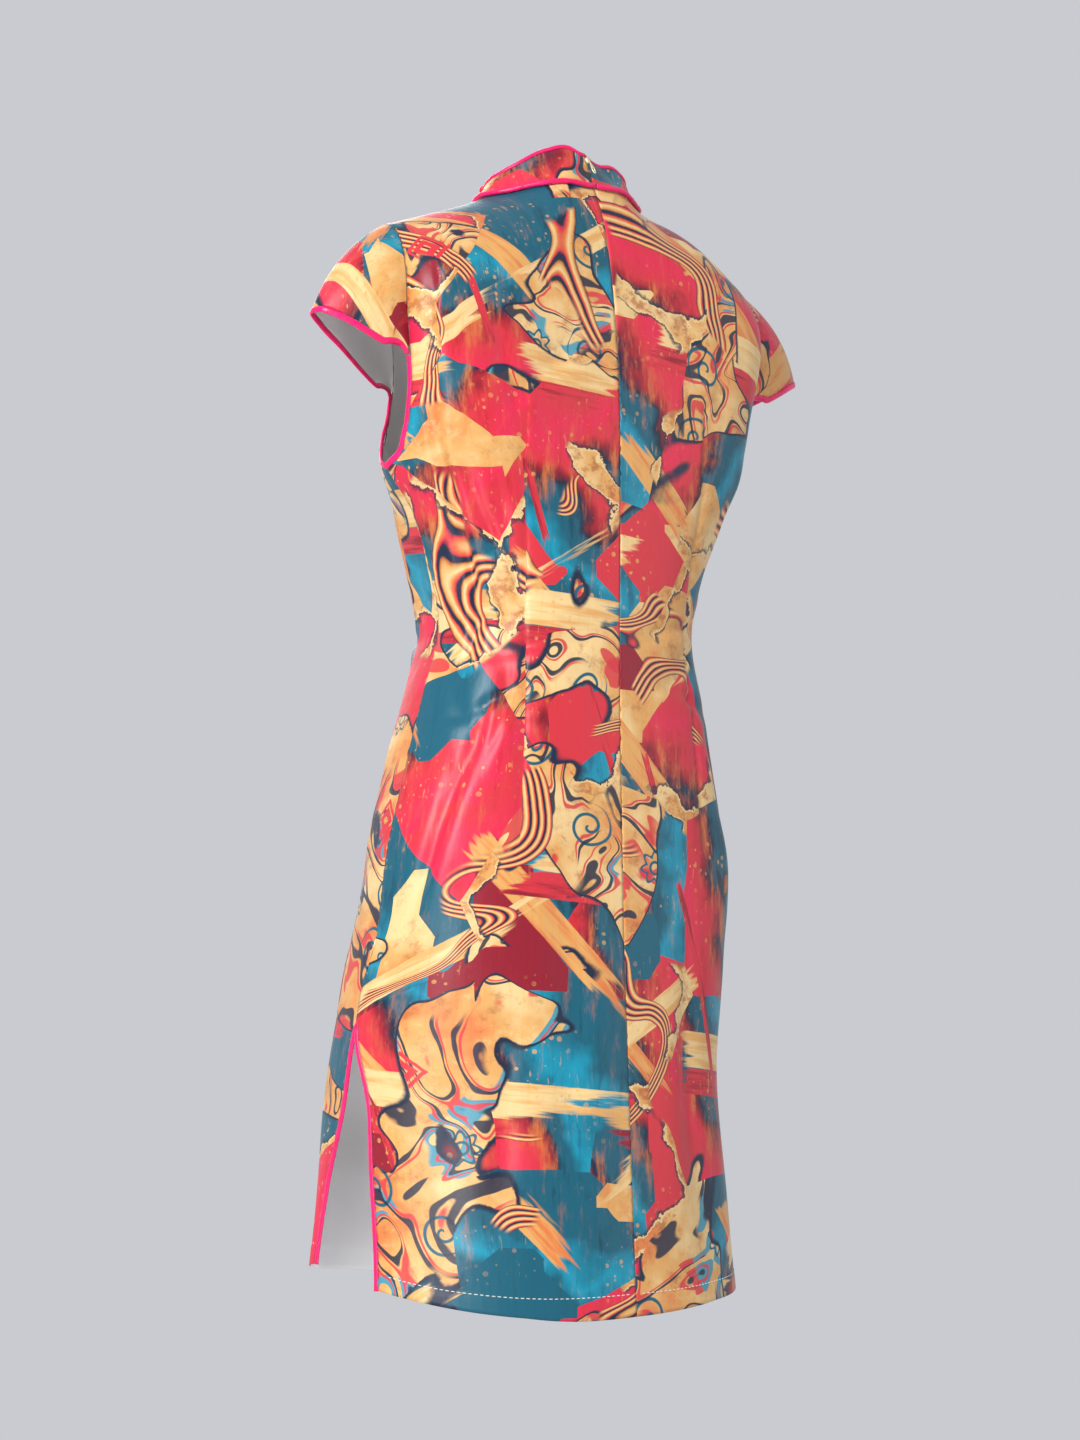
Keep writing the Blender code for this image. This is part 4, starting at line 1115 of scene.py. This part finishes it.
def printed_satin():
    """A collage print: airbrushed fields, bands, drawn paper, torn edges and ribbons."""
    look = Looks("printed_satin")
    place = look.cloth(10.0)                # decimetres
    grit = look.noise(place, 8.0, 5.0, 0.7)
    drift = look.noise(place, 1.0, 2.0, 0.5, out=1)
    moved = look.vector("MULTIPLY_ADD", drift, (0.22, 0.22, 0.0), place)
    _, tint, seed = look.cells(moved, PATCHES)
    pick = look.split(tint)
    colour = paint(look, place, look.split(look.vector("SUBTRACT", moved, seed)), pick)
    sheet = paper(look, place)
    colour = shards(look, moved, colour, sheet)
    colour = straight_bands(look, place, grit, colour)
    colour = look.mix(spatter(look, place) * 0.65, colour, SAND)

    # Drawn paper, its edges partly the fields' own straight ones.
    drawn, seal = drawn_paper(look, place, moved, sheet, pick)
    island = look.noise(place, 0.62, 2.0, 0.5, distort=0.7) + (pick[2] - 0.5) * 0.16
    island = island + (grit - 0.5) * 0.012
    colour = look.mix(look.smooth(island, ISLAND - 0.016, ISLAND - 0.006), colour, NAVY)
    is_paper = look.smooth(island, ISLAND - 0.002, ISLAND + 0.002)
    colour = look.mix(is_paper, colour, drawn)

    # Flowing ribbons over both.
    flow = look.noise(place, 0.46, 0.8, 0.4, distort=1.4)
    cover, ribbon = strands(look, flow + (grit - 0.5) * 0.004)
    share = look.smooth(look.noise(place, 0.75, 1.0), 0.54, 0.57)
    colour = look.mix(cover * share, colour, ribbon)
    colour = look.mix(seal * is_paper, colour, CORAL)

    # Torn paper strips along some of the field edges.
    edge = look.cells(moved, PATCHES, "DISTANCE_TO_EDGE")[0]
    strip = edge + (grit - 0.5) * 0.13 + (look.noise(place, 2.2, 2.0) - 0.5) * 0.34
    where = look.smooth(look.noise(place, 0.8, 0.0), 0.47, 0.49) * (1 - is_paper)
    where = where * pick[1].above(0.45)
    colour = look.mix(look.smooth(strip, 0.085, 0.060) * where * 0.85, colour, NAVY)
    torn = look.mix(look.smooth(grit, 0.46, 0.60) * 0.7, sheet, OCHRE)
    torn = look.mix(look.smooth(strip, 0.034, 0.046), torn, CREAM)
    colour = look.mix(look.smooth(strip, 0.056, 0.050) * where, colour, torn)

    # Worn vertical streaks of the printing.
    streaks = look.noise(look.stretched(place, 30.0, 1.8), 1.0, 2.0)
    colour = look.mix(look.smooth(streaks, 0.50, 0.80) * 0.35, colour, PEACH, "SOFT_LIGHT")
    colour = look.mix(1.0, colour, (0.80, 0.80, 0.80), "MULTIPLY")

    wrinkle = look.noise(look.stretched(look.cloth(), 1.0, 0.45), 46.0, 3.0, 0.55)
    normal = look.weave(look.bump(wrinkle, 0.6, 0.0018))
    rough = look.noise(place, 3.0, 2.0) * 0.12 + 0.34
    return look.finish(colour, normal, rough, Sheen_Weight=0.06, Sheen_Roughness=0.4,
                       Specular_IOR_Level=0.42)


def shards(look, moved, colour, sheet):
    """Lays small straight-edged pieces of red, blue and sand over a colour."""
    kind, tint, _ = look.split(look.cells(moved, SHARDS, metric="MANHATTAN")[1])
    shade = look.mix(tint.above(0.45), look.mix(tint.above(0.22), CRIMSON, CORAL), TEAL)
    return look.mix(kind.above(0.72), colour, look.mix(tint.above(0.66), shade, sheet))


def straight_bands(look, place, grit, colour):
    """Lays straight bands with dry-brushed ends, each only in part of the cloth."""
    flat = look.split(place)[:2]
    for turn, period, half, phase, scale, tint, second in BANDS:
        cover = bands(look, flat, turn, period, half, phase, (grit - 0.5) * 0.014)
        dry = look.noise(look.stretched(look.cloth(10.0, -turn), 1.2, 13.0), 1.0, 3.0, 0.6)
        share = look.smooth(look.noise(place, scale, 0.0) + (dry - 0.5) * 0.22, 0.485, 0.515)
        tint = look.mix(look.smooth(dry, 0.45, 0.65), tint, second)
        colour = look.mix(cover * share, colour, tint)
    return colour


def drawn_paper(look, place, moved, sheet, pick):
    """The paper with its washes, lines and motifs, and where its seals are."""
    level = look.noise(place, 0.95, 1.5, 0.45, distort=1.1)
    dark, red, fills = drawing(look, place, level)
    drawn = look.mix(fills * 0.9, sheet, look.mix(pick[1].above(0.5), TURQUOISE, CORAL))
    drawn = look.mix(red * 0.9, drawn, CORAL)
    lines, seal = motifs(look, place, moved)
    drawn = look.mix(lines, drawn, TEAL)
    return look.mix(dark * 0.95, drawn, NAVY), seal


# ------------------------------------------------------------------ the plain materials


def plain_satin(name, tint, dark):
    """Plain satin of the bindings, with small twists and a slight change of tone."""
    look = Looks(name)
    place = look.cloth(1000.0)              # millimetres
    colour = look.mix(look.smooth(look.noise(place, 0.12, 3.0), 0.3, 0.75), dark, tint)
    twist = look.noise(look.stretched(place, 0.5, 0.22), 1.0, 2.0)
    normal = look.weave(look.bump(twist, 0.35, 0.0006), 0.2)
    return look.finish(colour, normal, Sheen_Weight=0.08, Sheen_Roughness=0.4, Roughness=0.34)


def reverse_satin():
    """The pale wrong side of the cloth."""
    look = Looks("cloth_reverse")
    tone = look.noise(look.cloth(10.0), 1.5, 3.0)
    colour = look.mix(tone, linear(232, 229, 226), linear(244, 242, 240))
    normal = look.weave(look.bump(look.noise(look.cloth(), 40.0, 3.0), 0.25, 0.001), 0.3)
    return look.finish(colour, normal, Roughness=0.6, Sheen_Weight=0.15)


def metal(name, tint):
    look = Looks(name)
    tone = look.noise(look.solid(), 900.0, 3.0)
    colour = look.mix(look.smooth(tone, 0.35, 0.7), tint, tuple(c * 0.8 for c in tint))
    normal = look.bump(look.noise(look.solid(), 1600.0, 2.0), 0.15, 0.0001)
    return look.finish(colour, normal, Metallic=0.55, Roughness=0.32)


def thread(name, tint):
    look = Looks(name)
    tone = look.noise(look.solid(), 700.0, 2.0)
    colour = look.mix(tone, tuple(c * 0.75 for c in tint), tint)
    return look.finish(colour, look.bump(tone, 0.4, 0.0002), Roughness=0.6, Sheen_Weight=0.3)


# ------------------------------------------------------------------ panels


def cloth_u(angle, z, start):
    """Distance round the section at each level, from a starting angle."""
    steps = 40
    path = [section(start + (angle - start) * k / steps, z) for k in range(steps + 1)]
    total = np.zeros_like(z)
    for before, here in zip(path, path[1:]):
        total += np.hypot(here[0] - before[0], here[1] - before[1])
    return total


def cloth_v(points):
    """Distance up the cloth, the same as the level below the underarm."""
    up = np.linalg.norm(np.diff(points, axis=0), axis=-1)
    v = points[..., 2].copy()
    for i in range(UNDERARM_ROW + 1, len(v)):
        v[i] = v[i - 1] + up[i - 1]
    return v


def dart_intake(z):
    """Cloth taken in by a back dart at each level."""
    low, high = BACK_DART_ENDS
    share = np.minimum((z - low) / (WAIST - low), (high - z) / (high - WAIST))
    return DART_INTAKE * np.clip(share, 0, 1)


def add_out(points, out):
    """Moves points level with themselves, away from the body, by out."""
    flat = points[..., :2] - np.array([0.0, RIDGE_Y])
    spread = np.hypot(flat[..., 0], flat[..., 1])
    moved = points.copy()
    moved[..., :2] += flat / spread[..., None] * out[..., None]
    return moved


def without_crowded(*grids):
    """Leaves out the two rows next to the top edge, which lie too close to it."""
    rows = [k for k in range(TOP_ROW + 1) if k not in (TOP_ROW - 2, TOP_ROW - 1)]
    return [grid[rows] for grid in grids]


def lipped(points, u, v, normals, whole=()):
    """Adds a narrow inward lip at both side edges, for the seam line where they are sewn."""
    row = np.arange(len(points))
    sewn = np.clip(np.minimum(row - SLIT_ROW, UNDERARM_ROW - row) / 6, 0.1, 1)
    lips = []
    for edge in (0, -1):
        share = np.ones_like(sewn) if edge in whole else sewn
        lips.append(np.stack([points[:, edge] - normals[:, edge] * (drop * share)[:, None]
                              for drop in LIPS], 1))
    points = np.concatenate([lips[0][:, ::-1], points, lips[1]], axis=1)
    return [points] + [np.pad(part, ((0, 0), (2, 2)), mode="edge") for part in (u, v)]


def back_shell(side, name, offset):
    """A back panel with its creases, seam puckers, dart and turned hem."""
    grid = back_angles(side)
    angle, z = side * grid[..., 0], grid[..., 1]
    points, normals = back_panel(side)
    u = cloth_u(grid[..., 0], z, 0.0)
    v = cloth_v(points)
    out = creases(angle, z)
    out += seam_pull(u, v, 1.0 + side, 0.010, 0.0005)
    out += seam_pull(np.maximum(u[:, -1:] - u, 0), v, 4.0 + side, *PUCKER)
    dart = COLUMNS // 2
    at_dart = np.abs(u - u[:, dart:dart + 1])
    low, high = BACK_DART_ENDS
    sewn = window(z, low + 0.01, high - 0.01, 0.01)
    valley = DART_DEPTH * np.exp(-(at_dart / 0.0018) ** 2)
    out += sewn * (seam_pull(at_dart, v, 7.0 + side, 0.008, 0.0006) - valley)
    out += hem_turning(z - hem_level(side * np.minimum(np.abs(grid[0, :, 0]), 0.999))[None, :])
    points = drawn_in(add_out(points, out), ("first", "last", "top"))
    points, u, v = lipped(*without_crowded(points, u, v, normals), (0,))
    jump = (dart + 2, dart_intake(z[:, dart]) * side)
    return grid_mesh(name, points, u * side + offset[0], v + offset[1], jump)


def front_shell(name, offset):
    """The front with its creases, seam puckers and turned hem."""
    grid = front_angles()
    angle, z = grid[..., 0], grid[..., 1]
    points, normals = front_panel()
    half = COLUMNS
    u = np.zeros_like(z)
    u[:, :half] = cloth_u(angle[:, :half], z[:, :half], 2.0)
    u[:, half + 1:] = -cloth_u(angle[:, half + 1:], z[:, half + 1:], -2.0)
    v = cloth_v(points)
    out = creases(angle, z)
    out += seam_pull(np.maximum(u[:, :1] - u, 0), v, 2.0, *PUCKER)
    out += seam_pull(np.maximum(u - u[:, -1:], 0), v, 5.0, *PUCKER)
    round_front = np.where(angle[0] >= 0, np.maximum(angle[0], 1.001), np.minimum(angle[0], -1.001))
    out += hem_turning(z - hem_level(round_front)[None, :])
    points = drawn_in(add_out(points, out), ("first", "last", "top"))
    points, u, v = lipped(*without_crowded(points, u, v, normals))
    return grid_mesh(name, points, -u + offset[0], v + offset[1])


def sleeve_shell(side, name, offset):
    grid, normals = sleeve_grid(side)
    grid = drawn_in(grid, ("bottom", "top"))
    u = lengths(grid, 1)
    v = lengths(grid, 0)
    pull = seam_pull(v, u, 3.0 + side, 0.007, 0.0004)
    pull += seam_pull(v[-1:] - v, u, 6.0 + side, 0.006, 0.0003)
    grid, u, v = (part[:, 2:-1] for part in (grid + normals * pull[..., None], u, v))
    return grid_mesh(name, grid, u * side + offset[0], offset[1] - v)


def collar_frame(side):
    """The collar grid of one side and its outward directions, turned to the left side."""
    grid = collar_grid(side)
    normals = outward(grid)
    if normals[2, NECK_COLUMNS, 0] < 0:
        normals = -normals
    normals[:, 0, 0] = 0.0
    return grid, unit(normals)


def collar_shell(side, name, offset):
    grid, normals = collar_frame(side)
    grid = drawn_in(grid, ("first", "last", "top"))
    u = lengths(grid, 1)
    v = lengths(grid, 0)
    pull = seam_pull(v, u, 2.0 + side, 0.006, 0.00025) + seam_pull(u, v, 1.0, 0.004, 0.0002)
    grid = (grid + normals * pull[..., None]) * np.array([side, 1.0, 1.0])
    return grid_mesh(name, grid, u * side + offset[0], v + offset[1])


# ------------------------------------------------------------------ bindings and cords

BOUND = ((0.0, 0.42), (0.25, 0.62), (0.62, 0.60), (0.90, 0.36), (1.0, 0.0),
         (0.90, -0.36), (0.62, -0.60), (0.25, -0.62), (0.0, -0.42))


def binding(name, edge, out, away, width=BINDING_WIDTH, thick=BINDING, seed=0.0):
    """A bound edge with a rounded section and small puckers."""
    length = lengths(edge)
    swell = 1 + 0.07 * np.sin(2 * math.pi * length / 0.013 + 1.8 * np.sin(length * 61 + seed))
    swell *= 1 + 0.05 * np.sin(2 * math.pi * length / 0.0047 + 2.2 * np.sin(length * 133 + seed))
    rings = []
    for a, b in BOUND:
        high = -CLOTH / 2 + b * thick * 0.82 * swell
        rings.append(edge + out * (SEAM_HALF + a * width) + away * high[:, None])
    return tube_mesh(name, np.stack(rings, axis=1))


def cord_mesh(name, path, radius, seed):
    """A covered cord with small puckers."""
    forward = unit(np.gradient(path, axis=0))
    side = unit(np.cross(forward, np.array([0.0, 0.0, 1.0])))
    up = np.cross(side, forward)
    length = lengths(path)
    swell = 1 + 0.05 * np.sin(2 * math.pi * length / 0.009 + 1.7 * np.sin(length * 73 + seed))
    rings = [path + (radius * swell)[:, None] * (math.cos(t) * side + math.sin(t) * up)
             for t in np.linspace(0, 2 * math.pi, 12, endpoint=False)]
    return tube_mesh(name, np.stack(rings, axis=1))


def dense(path, *others, count):
    """The same path and directions with more points."""
    share = np.linspace(0, 1, count)
    made = [resample(path, part, share) for part in (path,) + others]
    return [made[0]] + [unit(part) for part in made[1:]]


def stitches(name, path, away, pitch=0.0044, long=0.0030, thick=0.00032):
    """Small raised stitches along a path, joined in one mesh."""
    length = lengths(path)[-1]
    share = (np.arange(int(length / pitch)) + 0.5) * pitch / length
    middle = resample(path, path, share)
    up = unit(resample(path, away, share))
    ahead = unit(np.gradient(middle, axis=0))
    side = np.cross(up, ahead)
    rings = []
    for along, size in ((-0.5, 0.25), (-0.3, 1.0), (0.3, 1.0), (0.5, 0.25)):
        for t in np.arange(6) * math.pi / 3:
            rings.append(middle + ahead * along * long
                         + thick * size * (math.cos(t) * side + math.sin(t) * up * 0.8))
    row, col = quads(4, 7)
    one = (row * 6 + col % 6).tolist() + [range(5, -1, -1), range(18, 24)]
    faces = [[24 * k + corner for corner in face] for k in range(len(share)) for face in one]
    points = np.stack(rings, axis=1).reshape(-1, 3)
    return shown(name, points, faces)


# ------------------------------------------------------------------ zip and knot

BEVEL = ((0.92, -0.5), (1.0, -0.2), (1.0, 0.2), (0.92, 0.5))    # size and height of a plate's rings
SLIDER = (0.0023, 0.0030, 0.0021)       # half width, half height and thickness
TAB_THICK = 0.0010
TAB_TILT = math.radians(11)


def plate(name, outline, hole, thick, frame):
    """A bevelled plate with an optional hole, from outlines in a plane."""
    origin, right, up, out = frame
    centre = outline.mean(axis=0)
    levels = [(centre + (outline - centre) * size, height * thick) for size, height in BEVEL]
    if hole is not None:
        levels += [(hole, 0.5 * thick), (hole, -0.5 * thick)]
    rings = [origin + flat @ np.array([right, up]) + out * high for flat, high in levels]
    return tube_mesh(name, rings, hole is not None)


def zip_parts():
    """The slider on the centre back of the collar, and the pull tab hanging from it."""
    base, top = (ring[0] for ring in collar_rings(1))
    up = unit(top - base)
    out = unit(np.array([0.0, up[2], -up[1]]))
    right = np.array([1.0, 0.0, 0.0])
    middle = base + up * (np.linalg.norm(top - base) - 0.0045) + out * 0.0016
    t = np.linspace(0, 2 * math.pi, 28, endpoint=False)
    wide = SLIDER[0] * np.where(np.cos(t) > 0, 1.12, 0.96)
    body = np.stack([wide * np.sin(t), SLIDER[1] * np.cos(t)], -1)
    slider = plate("zip_slider_body", body, None, SLIDER[2], (middle, right, up, out))
    down = -up * math.cos(TAB_TILT) - right * math.sin(TAB_TILT)
    side = right * math.cos(TAB_TILT) - up * math.sin(TAB_TILT)
    hinge = middle - up * 0.0026 + out * 0.0019
    t = np.linspace(0, 2 * math.pi, 36, endpoint=False)
    wide = 0.0008 + 0.0014 * (1 - np.cos(t)) / 2
    tab = np.stack([wide * np.sin(t), 0.0058 * (1 - np.cos(t)) + 0.0002], -1)
    hole = np.stack([0.0009 * np.sin(t), 0.0085 - 0.0014 * np.cos(t)], -1)
    frame = (hinge, side, down, np.cross(side, down))
    return slider, plate("zip_pull_tab", tab, hole, TAB_THICK, frame)


def knot():
    """A knotted ball: a round body with three crossing strands."""
    t = math.pi * np.arange(1, 30)[:, None] / 30
    p = 2 * math.pi * np.arange(60) / 60
    twist = 2.6 * np.cos(t)
    wave = np.abs(np.sin(1.5 * p + twist)) + 0.6 * np.abs(np.cos(1.5 * p - twist))
    radius = KNOT_RADIUS * (0.86 + 0.13 * np.minimum(wave, 1.0))
    way = np.stack([np.sin(t) * np.cos(p), np.sin(t) * np.sin(p), -np.cos(t) + 0 * p], -1)
    return tube_mesh("knot_ball", np.array(KNOT) + radius[..., None] * way)


# ------------------------------------------------------------------ light and camera

VIEW_TURN = math.radians(35)
VIEW_FROM = 2.6
VIEW_LEVEL = -0.66
VIEW_YAW = -0.0038
VIEW_PITCH = 0.09
VIEW_ROLL = 0.0179
LENS = 81.25            # on a 36 mm frame, for the photo's 1440 high frame
# Lamps: name, place, aim, width and height, watts.
LAMPS = (
    ("key", (3.3, 1.7, 1.2), (0, 0, -0.45), (0.7, 1.1), 150),
    ("fill", (-2.6, 2.8, 0.4), (0, 0, -0.5), (1.8, 2.2), 14),
    ("front", (-1.0, -3.0, 1.2), (0, 0, -0.4), (2.0, 2.0), 40),
    ("low", (2.6, 1.2, -1.2), (0.15, 0, -0.2), (1.4, 1.0), 24),
)
FLOOR = -1.40


def camera():
    """The photo's view: turned from straight behind, then panned, tilted and rolled."""
    s, c = math.sin(VIEW_TURN), math.cos(VIEW_TURN)

    def turned(first, second, angle):
        return (first * math.cos(angle) + second * math.sin(angle),
                second * math.cos(angle) - first * math.sin(angle))

    ahead, right = turned(Vector((-s, -c, 0)), Vector((-c, s, 0)), VIEW_YAW)
    ahead, up = turned(ahead, Vector((0, 0, 1)), VIEW_PITCH)
    right, up = turned(right, up, VIEW_ROLL)
    data = bpy.data.cameras.new("camera")
    data.sensor_width = 36.0
    data.sensor_fit = "AUTO"
    data.lens = LENS
    thing = bpy.data.objects.new("camera", data)
    bpy.context.scene.collection.objects.link(thing)
    place = Matrix((right, up, -ahead)).transposed().to_4x4()
    place.translation = Vector((VIEW_FROM * s, VIEW_FROM * c, VIEW_LEVEL))
    thing.matrix_world = place
    bpy.context.scene.camera = thing


def studio():
    """A pale world, four soft lamps and the floor."""
    world = bpy.data.worlds.new("studio")
    bpy.context.scene.world = world
    world.use_nodes = True
    back = world.node_tree.nodes["Background"]
    back.inputs["Color"].default_value = (*linear(201, 203, 208), 1)
    back.inputs["Strength"].default_value = 1.0
    for name, place, aim, size, power in LAMPS:
        data = bpy.data.lights.new(name, "AREA")
        data.shape = "RECTANGLE"
        data.size, data.size_y = size
        data.energy = power
        lamp = bpy.data.objects.new(name, data)
        bpy.context.scene.collection.objects.link(lamp)
        lamp.location = place
        way = Vector(aim) - Vector(place)
        lamp.rotation_euler = way.to_track_quat("-Z", "Y").to_euler()
    look = Looks("floor")
    tone = look.noise(look.solid(), 2.0, 3.0)
    colour = look.mix(tone, linear(205, 207, 212), linear(214, 216, 220))
    bpy.ops.mesh.primitive_circle_add(vertices=128, radius=3.0, fill_type="NGON", location=(0, 0, FLOOR))
    floor = bpy.context.object
    floor.name = "floor"
    floor.data.materials.append(look.finish(colour, Roughness=0.7))


# ------------------------------------------------------------------ the dress

SLIT_TAPER = 0.0055     # the slit bindings narrow over this much below the side seam


def area_of(thing):
    areas = np.zeros(len(thing.data.polygons))
    thing.data.polygons.foreach_get("area", areas)
    return float(areas.sum())


def show_cloth(thing, looks, node):
    thicken(thing)
    dress(thing, looks, (node,))
    area_of(thing)


def main():
    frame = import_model()
    bpy.context.scene.view_settings.view_transform = "Standard"
    camera()
    studio()
    satin = (printed_satin(), reverse_satin())
    pink = plain_satin("pink_satin", MAGENTA, linear(214, 4, 82))
    red = plain_satin("knot_satin", linear(226, 52, 46), linear(190, 24, 30))
    brass = metal("zip_metal", linear(238, 222, 182))
    white = thread("hem_thread", linear(240, 236, 226))

    show_cloth(back_shell(1, "back_left_cloth", (0.0, 0.0)), satin, "back_left")
    show_cloth(back_shell(-1, "back_right_cloth", (3.05, 0.0)), satin, "back_right")
    show_cloth(front_shell("front_cloth", (6.0, 0.0)), satin, "front")
    for side, hand in ((1, "left"), (-1, "right")):
        cap = sleeve_shell(side, "sleeve_%s_cloth" % hand, (9.0 + side, 0.0))
        show_cloth(cap, satin, "sleeve_" + hand)
        half = collar_shell(side, "collar_%s_cloth" % hand, (12.0 + side, 0.0))
        show_cloth(half, satin, "collar_" + hand)
        edges(side, hand, pink)
        hem_stitches("hem_stitches_" + hand, side * np.linspace(0.02, 0.86, 120), white)
    turn = np.linspace(1.05, 2.95, 220)
    hem_stitches("hem_stitches_front", np.where(turn <= 2, turn, turn - 4), white)
    slider, pull = zip_parts()
    dress(slider, (brass,), ("zip_slider",))
    dress(pull, (brass,), ("zip_pull",), "zip_pull")
    dress(knot(), (red,), ("knot_button",))


def edges(side, hand, pink):
    """All the bound edges and the neck cord of one side."""
    def bound(name, path, out, away, node, **settings):
        dress(binding(name + hand, path, out, away, **settings), (pink,), (node + hand,))

    path, out, away = dense(*underarm_strip(side), count=170)
    bound("armhole_edge_", path, out, away, "armhole_binding_", seed=1.0)
    for behind, word in ((True, "back"), (False, "front")):
        path, away, out = (part[:SLIT_ROW + 2] for part in side_edge(side, behind))
        path, out, away = dense(path, out, away, count=156)
        width = BINDING_WIDTH * np.clip((SLIT_TOP - path[:, 2:]) / SLIT_TAPER, 0.15, 1)
        bound("slit_%s_edge_" % word, path, out, away, "slit_binding_%s_" % word, width=width, seed=2.0)
    grid, normals = sleeve_grid(side)
    out = beyond(grid[-1], normals[-1], grid[-2])
    path, out, away = dense(grid[-1, 1:-1], out[1:-1], normals[-1][1:-1], count=170)
    bound("sleeve_edge_", path, out, away, "sleeve_binding_", seed=3.0)
    flip = np.array([side, 1.0, 1.0])
    grid, normals = collar_frame(side)
    edge = grid[-1].copy()
    out = beyond(edge, normals[-1], grid[-2])
    out[0, 0] = 0.0
    edge[0, 0] = 0.0003
    bound("collar_edge_", edge * flip, out * flip, normals[-1] * flip, "collar_binding_",
          width=COLLAR_EDGE[0], thick=COLLAR_EDGE[1])
    body_out = neck_out(side)
    collar_out = normals[1]
    near = 1 + np.einsum("ij,ij->i", collar_out, body_out)
    path = collar_rings(side)[0] + (collar_out + body_out) * ((PIPING + 0.0003) / near)[:, None]
    path[0, 0] = 0.0004
    path[-1, 0] = 0.0018
    cord = cord_mesh("neck_cord_" + hand, path * flip, PIPING, float(side))
    dress(cord, (pink,), ("neck_piping_" + hand,))


def hem_stitches(name, angle, white):
    """The stitches of the hem's turning over a run of angles."""
    path, away = edge_frame(angle, hem_level(angle) + HEM_TURN)
    dress(stitches(name, path + away * 0.0002, away), (white,))


main()
